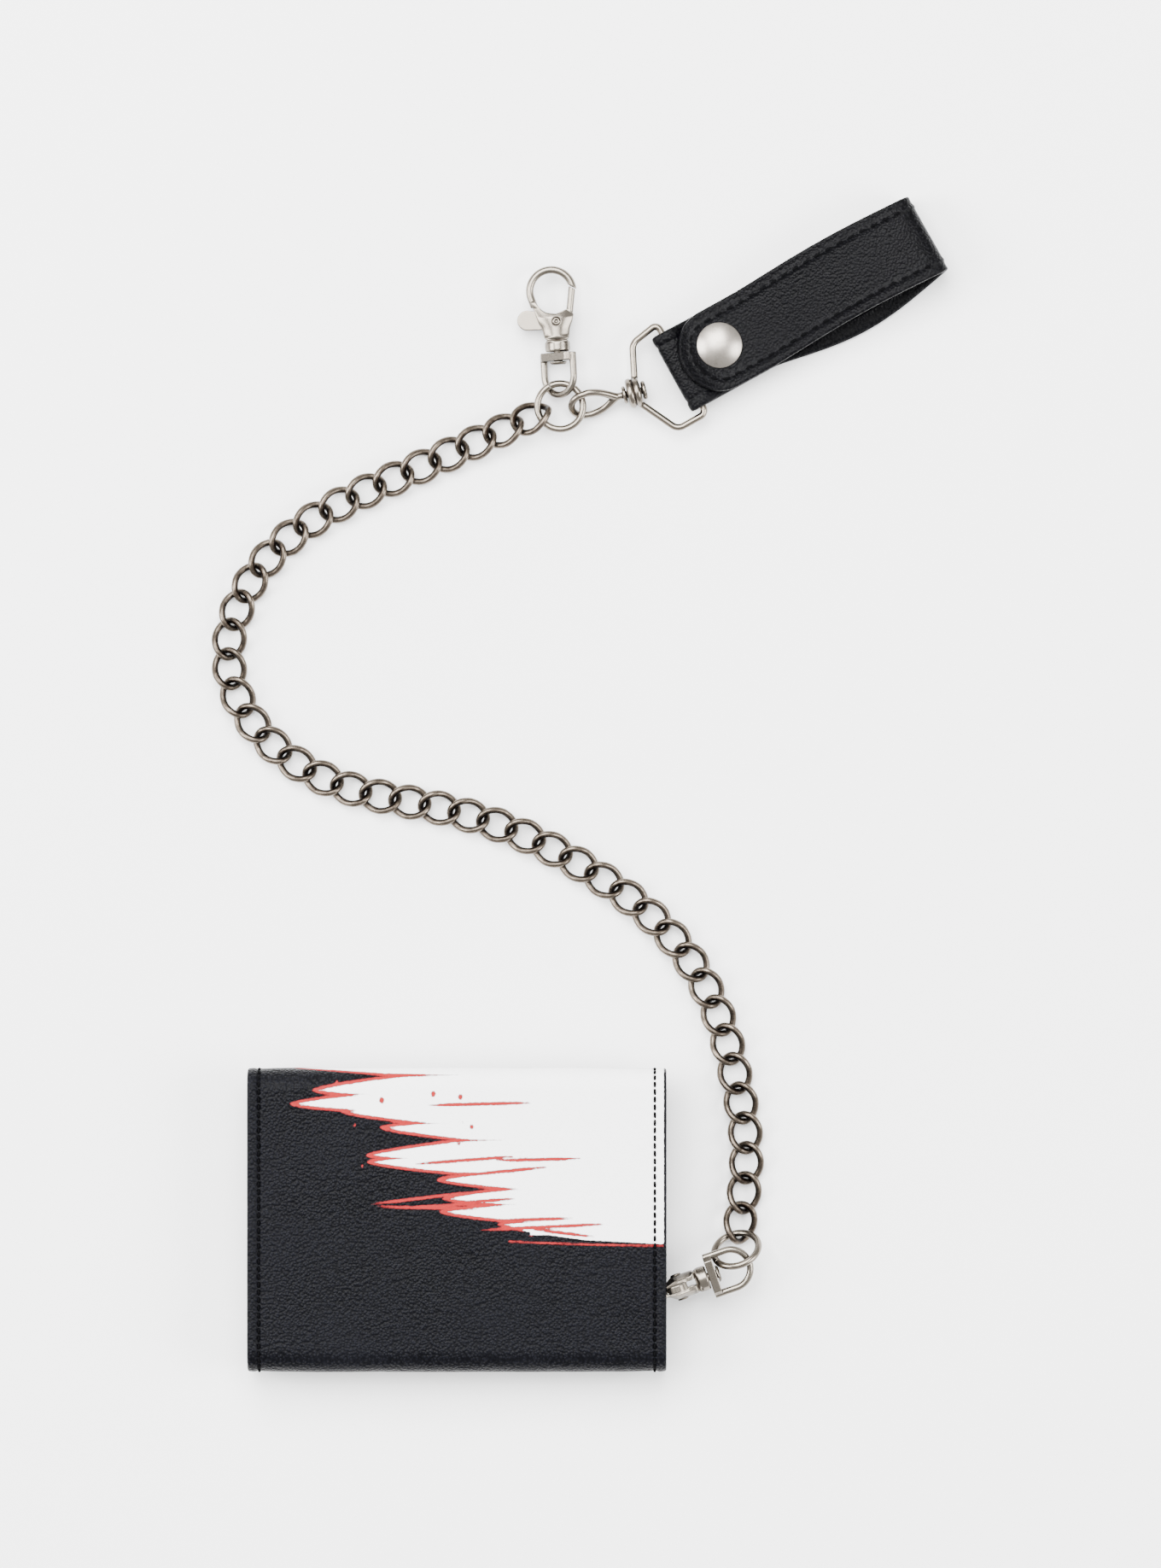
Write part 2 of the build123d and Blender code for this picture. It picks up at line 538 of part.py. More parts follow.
def make_belt_strap():
    fold_r = STRAP / 2 + WIRE / 2 + 0.3
    snap_x = STRAP_SNAP.X
    snap_y = STRAP_SNAP.Y
    lie = STRAP / 2
    returned = 1.5 * STRAP + 0.15
    fold_low = Vector(LEG_U, 0, LEG_Z - fold_r)
    fold_high = Vector(LEG_U, 0, LEG_Z + fold_r)
    under = rounded_run([
        Vector(STRAP_HINGE - lie - 0.2, 0, lie),
        Vector(15, 0, lie),
        Vector(8, 0, fold_low.Z),
        fold_low,
    ])
    around = Edge.make_tangent_arc(fold_low, Vector(-1, 0, 0), fold_high)
    over = rounded_run([
        fold_high,
        Vector(5.2, 0, fold_high.Z),
        Vector(10.8, 0, returned),
        Vector(RETURN_END, 0, returned),
    ])
    back = ribbon(under) + ribbon([around]) + ribbon(over)
    back -= disc(snap_x, snap_y, -1, 6, 1.45)
    back -= disc(snap_x, snap_y, -1, 0.8, 4.5)
    back -= disc(snap_x, snap_y, returned + lie, 9, 4.5)
    hinge = Vector(STRAP_HINGE, 0, lie)
    crest = Vector(STRAP_HINGE, 0, ARCH_Z)
    bend_r = (ARCH_Z - lie) / 2
    outermost = Vector(STRAP_HINGE + bend_r, 0, lie + bend_r)
    bends = [
        Edge.make_tangent_arc(hinge, Vector(1, 0, 0), outermost),
        Edge.make_tangent_arc(outermost, Vector(0, 0, 1), crest),
    ]
    over_top = rounded_run([
        crest,
        Vector(60, 0, ARCH_Z),
        Vector(28, 0, FRONT_Z),
        Vector(9.5, 0, FRONT_Z),
        Vector(3.5, 0, 9.6),
    ])
    front = ribbon(bends) + ribbon(over_top)
    half = STRAP_WIDTH / 2
    front += rod(hinge - Vector(0, half, 0), hinge + Vector(0, half, 0), lie)
    tongue_mid = TONGUE_TIP + half
    plan = Pos((tongue_mid + 90) / 2, 0) * Rectangle(90 - tongue_mid, STRAP_WIDTH)
    plan += Pos(tongue_mid, 0) * Circle(half)
    front &= extrude(plan, 30)
    under_tongue = FRONT_Z - lie
    face = FRONT_Z + lie
    front -= disc(snap_x, snap_y, under_tongue - 1, face, 1.5)
    front -= disc(snap_x, snap_y, face, face + 3, SNAP_CAP_R + 0.05)
    brim = face + 0.5
    dome_mid = brim - math.sqrt(SNAP_DOME_R ** 2 - SNAP_CAP_R ** 2)
    dome = Pos(snap_x, snap_y, dome_mid) * Sphere(SNAP_DOME_R)
    dome &= disc(snap_x, snap_y, brim, brim + 3.5, SNAP_CAP_R)
    cap = disc(snap_x, snap_y, face, brim, SNAP_CAP_R) + dome
    cap += disc(snap_x, snap_y, under_tongue, face, 1.5)
    top = returned + lie
    socket = tube(snap_x, snap_y, under_tongue - 1.05, under_tongue, 4.8, 2.3)
    stud = disc(snap_x, snap_y, top, top + 0.6, 4.4) + disc(snap_x, snap_y, top + 0.6, top + 1.6, 1.9)
    post = disc(snap_x, snap_y, 0.7, top, 1.45) + disc(snap_x, snap_y, 0.05, 0.7, 4.4)
    place = strap_frame()
    save("belt_strap_back", place * back)
    save("belt_strap_front", place * front)
    save("belt_snap_cap", place * cap)
    save("belt_snap_socket", place * socket)
    save("belt_snap_stud", place * stud)
    save("belt_snap_post", place * post)


make_centre_panel()
make_bottom_spine()
make_outer_flap()
make_inner_flap()
lower_clasp, upper_clasp = clasp_places()
save_clasp("lower_clasp", lower_clasp, LOWER_BAIL_HALF, LOWER_BAIL_TURN)
save_clasp("upper_clasp", upper_clasp, UPPER_BAIL_HALF, UPPER_BAIL_TURN)
make_rings()
make_chain()
make_teardrop()
make_coil_loop()
make_belt_strap()
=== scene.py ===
import json
import math

import bmesh
import bpy
import numpy as np
from mathutils import Matrix, Vector, noise

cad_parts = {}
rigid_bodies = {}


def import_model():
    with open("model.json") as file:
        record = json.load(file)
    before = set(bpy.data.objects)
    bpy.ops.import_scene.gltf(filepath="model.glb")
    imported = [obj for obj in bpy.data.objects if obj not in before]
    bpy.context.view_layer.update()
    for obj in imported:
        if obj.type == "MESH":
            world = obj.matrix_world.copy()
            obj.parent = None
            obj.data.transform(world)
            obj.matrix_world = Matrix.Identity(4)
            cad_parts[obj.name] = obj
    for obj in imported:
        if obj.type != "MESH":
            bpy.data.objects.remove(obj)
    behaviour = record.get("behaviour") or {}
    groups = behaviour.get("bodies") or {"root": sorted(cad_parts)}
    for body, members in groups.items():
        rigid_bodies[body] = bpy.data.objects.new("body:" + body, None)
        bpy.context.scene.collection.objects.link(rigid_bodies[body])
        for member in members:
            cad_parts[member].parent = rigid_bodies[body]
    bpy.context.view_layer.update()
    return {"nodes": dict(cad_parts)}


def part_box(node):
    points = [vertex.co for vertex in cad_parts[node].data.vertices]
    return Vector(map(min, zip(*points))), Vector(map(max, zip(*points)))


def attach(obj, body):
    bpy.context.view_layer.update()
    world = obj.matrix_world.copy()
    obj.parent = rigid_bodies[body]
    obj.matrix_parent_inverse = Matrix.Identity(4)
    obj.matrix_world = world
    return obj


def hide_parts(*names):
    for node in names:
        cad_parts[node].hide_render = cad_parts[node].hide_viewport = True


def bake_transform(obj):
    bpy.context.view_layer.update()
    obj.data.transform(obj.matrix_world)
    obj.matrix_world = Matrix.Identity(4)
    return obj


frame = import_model()
MM = 0.001
rng = np.random.default_rng(7)


# ---- camera: straight down on the object as it lies ----

VIEW_CENTRE = Vector((33.7, 118.9, 0.0)) * MM
VIEW_HEIGHT = 428.4 * MM
VIEW_DISTANCE = 3.0
MIDDLE_HEIGHT = 9.0 * MM        # of the object, where the view's height is measured
SENSOR = 36.0

camera_data = bpy.data.cameras.new("camera")
camera = bpy.data.objects.new("camera", camera_data)
bpy.context.scene.collection.objects.link(camera)
camera.location = VIEW_CENTRE + Vector((0, 0, VIEW_DISTANCE + MIDDLE_HEIGHT))
camera_data.sensor_fit = "VERTICAL"
camera_data.sensor_height = SENSOR
camera_data.lens = SENSOR * VIEW_DISTANCE / VIEW_HEIGHT
camera_data.clip_end = 20.0
bpy.context.scene.camera = camera


# ---- node helpers ----

class Graph:
    """A material's node tree, with short calls for the nodes used here."""

    def __init__(self, name):
        self.material = bpy.data.materials.new(name)
        self.material.use_nodes = True
        self.tree = self.material.node_tree
        self.shader = self.tree.nodes["Principled BSDF"]

    def node(self, kind, **values):
        made = self.tree.nodes.new(kind)
        for key, value in values.items():
            setattr(made, key, value)
        return made

    def link(self, out, into):
        self.tree.links.new(out, into)

    def put(self, socket, value):
        if isinstance(value, (int, float, tuple)):
            socket.default_value = value
        else:
            self.link(value, socket)

    def math(self, operation, a, b=0.0):
        made = self.node("ShaderNodeMath", operation=operation)
        self.put(made.inputs[0], a)
        self.put(made.inputs[1], b)
        return made.outputs[0]

    def ramp(self, value, low, high, to_low=0.0, to_high=1.0):
        made = self.node("ShaderNodeMapRange", interpolation_type="SMOOTHSTEP")
        for socket, number in zip(made.inputs, (value, low, high, to_low, to_high)):
            self.put(socket, number)
        return made.outputs[0]

    def mix(self, factor, a, b):
        made = self.node("ShaderNodeMix", data_type="RGBA")
        self.put(made.inputs[0], factor)
        self.put(made.inputs[6], a)
        self.put(made.inputs[7], b)
        return made.outputs[2]

    def rest(self):
        """Where a point is on the piece at rest, in metres, whatever its pose."""
        return self.node("ShaderNodeAttribute", attribute_name="rest").outputs["Vector"]

    def value(self, name):
        return self.node("ShaderNodeAttribute", attribute_name=name).outputs["Fac"]

    def noise(self, vector, scale, detail=2.0, rough=0.5):
        made = self.node("ShaderNodeTexNoise")
        self.link(vector, made.inputs["Vector"])
        made.inputs["Scale"].default_value = scale
        made.inputs["Detail"].default_value = detail
        made.inputs["Roughness"].default_value = rough
        return made.outputs["Fac"]

    def cells(self, vector, scale):
        made = self.node("ShaderNodeTexVoronoi", feature="SMOOTH_F1")
        self.link(vector, made.inputs["Vector"])
        made.inputs["Scale"].default_value = scale
        made.inputs["Smoothness"].default_value = 0.6
        return made.outputs["Distance"]

    def bump(self, height, strength, distance):
        made = self.node("ShaderNodeBump")
        made.inputs["Strength"].default_value = strength
        made.inputs["Distance"].default_value = distance
        self.link(height, made.inputs["Height"])
        self.link(made.outputs["Normal"], self.shader.inputs["Normal"])

    def set(self, **sockets):
        for key, value in sockets.items():
            self.put(self.shader.inputs[key.replace("_", " ")], value)


def leather(name, dark, light, grain=1450.0, depth=0.00026, rough=(0.30, 0.48), printed=False):
    """Black pebbled leather: raised grains with lighter tops, and a print on the wallet's cover."""
    g = Graph(name)
    place = g.rest()
    pebbles = g.cells(place, grain)
    fine = g.noise(place, grain * 1.7, 3.0, 0.6)
    broad = g.noise(place, 45.0, 3.0, 0.55)
    tops = g.ramp(pebbles, 0.62, 0.12)
    shade = g.math("ADD", g.math("MULTIPLY", tops, 0.55), g.math("MULTIPLY", broad, 0.45))
    colour = g.mix(shade, dark, light)
    height = g.math("ADD", g.math("MULTIPLY", pebbles, -1.0), g.math("MULTIPLY", fine, 0.35))
    roughness = g.ramp(g.math("ADD", fine, broad), 0.7, 1.3, rough[0], rough[1])
    if printed:
        rag = g.math("MULTIPLY", g.math("SUBTRACT", g.noise(place, 900.0, 3.0, 0.7), 0.5), 0.5)
        white = g.ramp(g.math("ADD", g.value("print_white"), rag), 0.10, -0.10)
        red = g.ramp(g.math("ADD", g.value("print_red"), rag), 0.09, -0.09)
        edge = g.ramp(g.math("ABSOLUTE", g.math("ADD", g.value("print_red"), rag)), 0.20, 0.04)
        paper = g.mix(g.noise(place, 700.0), (0.90, 0.90, 0.90, 1.0), (0.95, 0.95, 0.95, 1.0))
        ink = g.mix(g.noise(place, 2600.0), (0.22, 0.010, 0.012, 1.0), (0.30, 0.018, 0.018, 1.0))
        colour = g.mix(white, colour, paper)
        colour = g.mix(red, colour, ink)
        colour = g.mix(g.math("MULTIPLY", edge, 0.45), colour, (0.05, 0.006, 0.008, 1.0))
        cover = g.math("MAXIMUM", white, red)
        height = g.math("MULTIPLY", height, g.ramp(cover, 0.0, 1.0, 1.0, 0.30))
        roughness = g.math("ADD", roughness, g.math("MULTIPLY", cover, 0.12))
    g.set(Base_Color=colour, Roughness=roughness)
    g.shader.inputs["Specular IOR Level"].default_value = 0.055
    g.bump(height, 1.0, depth)
    return g.material


def woven(name, dark, light):
    """Plain-woven lining cloth."""
    g = Graph(name)
    place = g.rest()
    split = g.node("ShaderNodeSeparateXYZ")
    g.link(place, split.inputs[0])
    waves = [g.math("SINE", g.math("MULTIPLY", split.outputs[axis], 9000.0)) for axis in (0, 1)]
    weave = g.math("MULTIPLY", waves[0], waves[1])
    tone = g.math("ADD", g.ramp(weave, -1.0, 1.0, 0.0, 0.6), g.math("MULTIPLY", g.noise(place, 300.0), 0.4))
    g.set(Base_Color=g.mix(tone, dark, light), Roughness=g.ramp(weave, -1.0, 1.0, 0.75, 0.9))
    g.shader.inputs["Sheen Weight"].default_value = 0.2
    g.bump(weave, 0.6, 0.00008)
    return g.material


def metal(name, bright, dark, rough, brushed=False):
    """Antiqued plate: dark tarnish in the recesses, rubbed bright on the high places, with painted shade on
    undersides and sides.
    """
    g = Graph(name)
    place = g.rest()
    mottle = g.noise(place, 420.0, 4.0, 0.62)
    specks = g.noise(place, 2600.0, 2.0, 0.6)
    # the stored field holds tarnish and painted shade: undersides, sides and the chain links' bends and ends come
    # out darker
    patina_and_shade = g.math("ADD", g.value("patina_and_shade"), g.math("MULTIPLY", g.math("SUBTRACT", mottle, 0.5), 0.55))
    patina_and_shade = g.math("ADD", patina_and_shade, g.math("MULTIPLY", g.math("SUBTRACT", specks, 0.5), 0.22))
    amount = g.ramp(patina_and_shade, 0.10, 0.62)
    g.set(Base_Color=g.mix(amount, bright, dark), Roughness=g.ramp(amount, 0.0, 1.0, rough, rough + 0.22))
    g.shader.inputs["Metallic"].default_value = 1.0
    scratch = g.noise(place, 5200.0, 2.0, 0.7)
    if brushed:
        stretch = g.node("ShaderNodeMapping")
        stretch.inputs["Scale"].default_value = (1.0, 7.0, 1.0)
        g.link(place, stretch.inputs["Vector"])
        scratch = g.noise(stretch.outputs[0], 1500.0, 3.0, 0.7)
    g.bump(g.math("ADD", scratch, g.math("MULTIPLY", mottle, 0.6)), 0.22, 0.00003)
    return g.material


def thread_material():
    g = Graph("black_thread")
    place = g.rest()
    twist = g.node("ShaderNodeTexWave", bands_direction="DIAGONAL")
    g.link(place, twist.inputs["Vector"])
    twist.inputs["Scale"].default_value = 900.0
    g.set(Base_Color=g.mix(twist.outputs["Fac"], (0.0005, 0.0005, 0.0006, 1.0), (0.002, 0.002, 0.0025, 1.0)))
    g.shader.inputs["Roughness"].default_value = 0.7
    g.shader.inputs["Specular IOR Level"].default_value = 0.03
    g.bump(twist.outputs["Fac"], 0.5, 0.00008)
    return g.material


def clear_plastic():
    g = Graph("clear_film")
    place = g.rest()
    scuffs = g.noise(place, 300.0, 4.0, 0.7)
    g.set(Base_Color=(0.92, 0.94, 0.95, 1.0), Roughness=g.ramp(scuffs, 0.3, 0.8, 0.04, 0.22))
    g.shader.inputs["Transmission Weight"].default_value = 0.92
    g.shader.inputs["IOR"].default_value = 1.45
    g.bump(scuffs, 0.1, 0.00005)
    return g.material


def floor_material():
    g = Graph("pale_floor")
    shade = g.noise(g.node("ShaderNodeTexCoord").outputs["Object"], 3.0)
    g.set(Base_Color=g.mix(shade, (0.92, 0.92, 0.92, 1.0), (0.94, 0.94, 0.94, 1.0)))
    g.shader.inputs["Roughness"].default_value = 0.9
    g.shader.inputs["Specular IOR Level"].default_value = 0.1
    return g.material


BLACK = (0.0003, 0.0003, 0.0005, 1.0)
GRAIN_TOPS = (0.0052, 0.0055, 0.0082, 1.0)
COVER = leather("printed_leather", BLACK, GRAIN_TOPS, printed=True)
PLAIN = leather("wallet_leather", BLACK, GRAIN_TOPS)
STRAP = leather("strap_leather", BLACK, (0.0030, 0.0030, 0.0040, 1.0), 1500.0, 0.00018)
SMOOTH = leather("pocket_leather", (0.002, 0.002, 0.003, 1.0), (0.008, 0.008, 0.010, 1.0), 2400.0, 0.00006)
CLOTH = woven("lining_cloth", (0.003, 0.003, 0.004, 1.0), (0.016, 0.016, 0.020, 1.0))
NICKEL = metal("antique_nickel", (0.150, 0.122, 0.096, 1.0), (0.006, 0.0036, 0.0024, 1.0), 0.24)
RINGS = metal("antique_rings", (0.180, 0.156, 0.128, 1.0), (0.010, 0.0066, 0.0045, 1.0), 0.24)
CLASP = metal("antique_clasp", (0.190, 0.168, 0.140, 1.0), (0.012, 0.0080, 0.0055, 1.0), 0.26)
SILVER = metal("antique_silver", (0.34, 0.31, 0.275, 1.0), (0.035, 0.025, 0.018, 1.0), 0.34, brushed=True)
STEEL = metal("plated_steel", (0.25, 0.25, 0.25, 1.0), (0.03, 0.03, 0.03, 1.0), 0.25)
THREAD = thread_material()
FILM = clear_plastic()


# ---- mesh helpers; points are in millimetres until an object is made ----

def make_object(name, points, faces, material, values=None):
    mesh = bpy.data.meshes.new(name)
    mesh.from_pydata((np.asarray(points, float) * MM).tolist(), [], faces)
    mesh.validate()
    work = bmesh.new()
    work.from_mesh(mesh)
    bmesh.ops.recalc_face_normals(work, faces=work.faces)
    work.to_mesh(mesh)
    work.free()
    for key, numbers in (values or {}).items():
        field = mesh.attributes.new(key, "FLOAT", "POINT")
        field.data.foreach_set("value", np.asarray(numbers, np.float32))
    made = bpy.data.objects.new(name, mesh)
    bpy.context.scene.collection.objects.link(made)
    mesh.materials.append(material)
    mesh.polygons.foreach_set("use_smooth", [True] * len(mesh.polygons))
    store_rest(made)
    return made


def store_rest(made):
    mesh = made.data
    co = np.zeros(len(mesh.vertices) * 3, np.float32)
    mesh.vertices.foreach_get("co", co)
    mesh.attributes.new("rest", "FLOAT_VECTOR", "POINT").data.foreach_set("vector", co)


def soften(points, rounds=3):
    """A smooth curve near the given corners, through its first and last point."""
    curve = [np.asarray(p, float) for p in points]
    for _ in range(rounds):
        cut = [curve[0]]
        for a, b in zip(curve, curve[1:]):
            cut += [a * 0.75 + b * 0.25, a * 0.25 + b * 0.75]
        curve = cut + [curve[-1]]
    return np.array(curve)


def lengths_along(line):
    """The length of a line up to each of its points."""
    return np.concatenate([[0], np.cumsum(np.linalg.norm(np.diff(line, axis=0), axis=1))])


def resample(curve, step):
    """Points a step apart along a curve, and the length up to each."""
    along = lengths_along(curve)
    places = np.linspace(0, along[-1], max(3, int(round(along[-1] / step)) + 1))
    return np.stack([np.interp(places, along, curve[:, i]) for i in range(curve.shape[1])], axis=1), places


def line_normals(line):
    """The direction square to a line of (along, up) pairs, to its left, at each point."""
    tangent = np.gradient(line, axis=0)
    tangent /= np.linalg.norm(tangent, axis=1)[:, None]
    return np.stack([-tangent[:, 1], tangent[:, 0]], axis=1)


def tube_faces(base, rings, sides):
    """The side faces of a tube whose rings of points follow each other from number base on."""
    faces = []
    for i in range(rings - 1):
        for k in range(sides):
            m = (k + 1) % sides
            faces.append((base + i * sides + k, base + i * sides + m,
                          base + (i + 1) * sides + m, base + (i + 1) * sides + k))
    return faces


def strip(name, profile, half_width, thickness, material, relief=None, frame_at=None, step=0.7,
          edge=0.5, cross=0.7, values=None, seam=None):
    """A soft sheet of leather. profile is its middle line as (along, up) pairs, half_width the reach to
    each side at a distance along it, and relief how far its face stands out at a point."""
    line, along = resample(np.asarray(profile, float), step)
    normal = line_normals(line)
    widest = max(half_width(a, along[-1]) for a in along)
    count = int(2 * widest / cross)
    bend = np.linspace(0, math.pi / 2, 4)[1:]
    shares = np.linspace(-1, 1, count)
    if seam:
        beside = (widest - np.linspace(seam - 1.1, seam + 1.1, 12)) / (widest - edge)
        clear = np.abs(np.abs(shares) - beside.mean()) > 1.25 / widest
        shares = np.sort(np.concatenate([shares[clear], beside, -beside]))
    loop = []
    for share in shares:
        loop.append((share, 0.0, 1.0))
    for angle in bend:
        loop.append((1.0, math.sin(angle), math.cos(angle)))
    for angle in bend[::-1][1:]:
        loop.append((1.0, math.sin(angle), -math.cos(angle)))
    for share in shares[::-1]:
        loop.append((share, 0.0, -1.0))
    for angle in bend:
        loop.append((-1.0, math.sin(angle), -math.cos(angle)))
    for angle in bend[::-1][1:]:
        loop.append((-1.0, math.sin(angle), math.cos(angle)))
    points = []
    flat = []
    half = thickness / 2
    for number in range(len(line)):
        width = half_width(along[number], along[-1])
        for share, out, up in loop:
            across = share * (width - edge) + math.copysign(out * edge, share)
            lift = up * half
            face = 1 if up > 0 else -1
            if relief:
                lift += relief(across, along[number], along[-1], width, face) * abs(up)
            spot = line[number] + normal[number] * lift
            points.append((across, spot[0], spot[1]))
            flat.append((across, along[number], face))
    ring = len(loop)
    faces = []
    for i in range(len(line) - 1):
        for j in range(ring):
            k = (j + 1) % ring
            faces.append((i * ring + j, i * ring + k, (i + 1) * ring + k, (i + 1) * ring + j))
    faces.append(tuple(range(ring))[::-1])
    faces.append(tuple((len(line) - 1) * ring + j for j in range(ring)))
    points = np.array(points)
    if frame_at is not None:
        points = frame_at(points)
    extra = values(np.array(flat)) if values else None
    return make_object(name, points, faces, material, extra)


def stitch_run(line, normals, pitch, length, radius, sink=0.1):
    """Thread stitches along a line: each one a short arch of thread that dives in at both ends."""
    along = lengths_along(line)
    points = []
    faces = []
    sides = 7
    steps = np.linspace(0, 1, 7)
    for start in np.arange(pitch * 0.3, along[-1] - length, pitch):
        base = len(points)
        lean = rng.uniform(-0.04, 0.04)
        for t in steps:
            place = start + t * length
            spot = np.array([np.interp(place, along, line[:, i]) for i in range(3)])
            ahead = np.array([np.interp(place + 0.05, along, line[:, i]) for i in range(3)]) - spot
            ahead /= max(np.linalg.norm(ahead), 1e-9)
            up = np.array([np.interp(place, along, normals[:, i]) for i in range(3)])
            up /= np.linalg.norm(up)
            side = np.cross(up, ahead)
            arch = math.sin(math.pi * t)
            spot = spot + up * (radius * (1.35 * arch ** 0.6 - 0.85) - sink) + side * lean * (t - 0.5) * length
            size = radius * (0.55 + 0.45 * arch ** 0.5)
            for k in range(sides):
                angle = 2 * math.pi * k / sides
                points.append(spot + size * (math.cos(angle) * side + math.sin(angle) * up))
        faces += tube_faces(base, len(steps), sides)
        faces.append(tuple(base + k for k in range(sides))[::-1])
        faces.append(tuple(base + (len(steps) - 1) * sides + k for k in range(sides)))
    return points, faces


def stitches(name, runs, pitch, length, radius, sink=0.1):
    points = []
    faces = []
    for line, normals in runs:
        more, these = stitch_run(line, normals, pitch, length, radius, sink)
        faces += [tuple(v + len(points) for v in face) for face in these]
        points += more
    return make_object(name, points, faces, THREAD)


def wobble(x, y, size, seed):
    """Smooth noise, about -1 to 1, over a given size in millimetres."""
    return noise.noise(Vector((x / size, y / size, seed)))


# ---- the wallet's leather ----

HALF_W = 57.15
STITCH_IN = 3.2
SHELL = 1.2
THREAD_SUNK = 0.10      # how far a line of stitches lies under the leather's face


def shell_relief(seed, pad):
    """The face of a lined panel: slack over the middle, pressed down along its stitch lines."""
    def relief(across, along, total, width, face):
        inward = width - abs(across)
        if face < 0:
            return 0.0
        furrow = -0.30 * math.exp(-((inward - STITCH_IN) / 0.55) ** 2)
        puff = 0.16 * math.exp(-((inward - 1.6) / 0.9) ** 2)
        belly = pad * (1 - math.exp(-max(inward - STITCH_IN, 0) / 9.0))
        slack = 0.16 * wobble(across, along, 21.0, seed) + 0.05 * wobble(across, along, 7.0, seed + 3)
        return furrow + puff + (belly + slack) * min(1, max(inward - STITCH_IN, 0) / 4)
    return relief


def rounded_end(radius):
    """The half width along a panel whose last two corners are rounded."""
    def half_width(along, total):
        short = min(total - along, radius)
        if short >= radius:
            return HALF_W
        return HALF_W - radius + math.sqrt(max(radius ** 2 - (radius - short) ** 2, 0.0))
    return half_width


def arc(centre, radius, start, end, count=12):
    angles = np.radians(np.linspace(start, end, count))
    return [(centre[0] + radius * math.cos(a), centre[1] + radius * math.sin(a)) for a in angles]


MID = SHELL / 2
FOLD_R = 5.2            # of the leather's middle line, at the wallet's long edges
SPINE_Y = -40.65
TOP_Z = 19.0
SEAM_Z = 9.8

cover_line = np.array(
    [(SPINE_Y, SEAM_Z), (SPINE_Y - 0.1, 12.0)]
    + arc((SPINE_Y + FOLD_R, TOP_Z - FOLD_R), FOLD_R, 180, 90)
    + arc((-SPINE_Y - FOLD_R, TOP_Z - FOLD_R), FOLD_R, 90, 0)
    + [(-SPINE_Y, 10.4)]
)
FLAT_FACE = slice(13, 15)       # the two points of the cover's line that bound its flat face
PRINT_SHIFT = -float(np.interp(0.0, cover_line[FLAT_FACE, 0], lengths_along(cover_line)[FLAT_FACE]))
PRINT_RIGHT = 57        # where the print meets the wallet's right-hand edge


# The print is an abstract pattern: broad brush strokes that run in from the right, each with a
# ragged tapering end, and thin red streaks. Distances are signed, in millimetres.

def stroke(x, y, tip, angle, half, taper, length=200.0):
    turn = math.radians(angle)
    u = (x - tip[0]) * math.cos(turn) + (y - tip[1]) * math.sin(turn)
    v = -(x - tip[0]) * math.sin(turn) + (y - tip[1]) * math.cos(turn)
    reach = half * np.clip(u / taper, 0, 1) ** 0.62 * np.clip((length - u) / taper, 0, 1) ** 0.5
    beyond = np.maximum(np.maximum(-u, u - length), 0)
    return np.where(beyond > 0, np.hypot(beyond, v), np.abs(v) - reach)


def print_values(flat):
    x = flat[:, 0]
    y = flat[:, 1] + PRINT_SHIFT
    draw = np.random.default_rng(21)
    white = np.full(len(x), 9.0)
    red = np.full(len(x), 9.0)
    rows = np.linspace(46.0, -2.2, 12)
    tips = np.interp(rows, [-4, 4, 12, 22, 34, 46], [12, -3, -14, -26, -40, -49])
    tips = tips + draw.uniform(-8, 8, len(rows))
    for row, tip in zip(rows, tips):
        angle = draw.uniform(-3.0, 3.0)
        lean = row - math.tan(math.radians(angle)) * (PRINT_RIGHT - tip) * 0.5
        body = stroke(x, y, (tip, lean), angle, 3.0, 24.0)
        white = np.minimum(white, body)
    white = np.minimum(white, np.maximum(20 - x, -3.9 - y))
    red = np.maximum(np.abs(white + 0.15) - 0.42, x - 26 - 8 * np.sin(y * 0.6))
    for _ in range(11):
        start = (draw.uniform(-24, 24), draw.uniform(-3, 36))
        red = np.minimum(red, stroke(x, y, start, draw.uniform(-7, 8), 0.42, 6.0, draw.uniform(16, 34)))
    for _ in range(10):
        spot = (draw.uniform(-34, 12), draw.uniform(-2, 38))
        red = np.minimum(red, np.hypot(x - spot[0], (y - spot[1]) * 0.8) - draw.uniform(0.2, 0.7))
    hem = -6.8 + 0.0016 * np.maximum(PRINT_RIGHT - x, 0) ** 1.75
    white = np.maximum(white, hem - y)
    red = np.minimum(red, np.maximum(np.abs(y - hem) - 0.28, 14 - x))
    margin = np.abs(x) - (HALF_W - 0.75)
    under = np.where(flat[:, 2] > 0, -9.0, 9.0)
    white = np.maximum(np.maximum(white, margin), under)
    return {"print_white": white, "print_red": np.maximum(np.maximum(red, margin), under)}


cover = strip("wallet_cover", cover_line, lambda a, t: HALF_W, SHELL, COVER, shell_relief(1.0, 0.25),
              step=0.5, edge=0.45, cross=0.5, values=print_values, seam=STITCH_IN)
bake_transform(cover)
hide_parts("centre_panel_shell", "top_fold_spine")

flap_line = np.array(
    [(38.0, MID)]
    + arc((SPINE_Y + FOLD_R, MID + FOLD_R), FOLD_R, 270, 180)
    + [(SPINE_Y - 0.1, 7.6), (SPINE_Y, SEAM_Z)]
)
outward_relief = shell_relief(5.0, 0.0)


def flap_relief(across, along, total, width, face):
    """The outer flap's good face is the right-hand side of its line, so the two faces change places."""
    return outward_relief(across, along, total, width, -face) * 0.8


flap = strip("flap_cover", flap_line[::-1], rounded_end(2.5), SHELL, PLAIN, flap_relief,
             step=0.7, edge=0.45, cross=0.8, seam=STITCH_IN)
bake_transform(flap)
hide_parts("bottom_fold_spine", "outer_flap_shell")

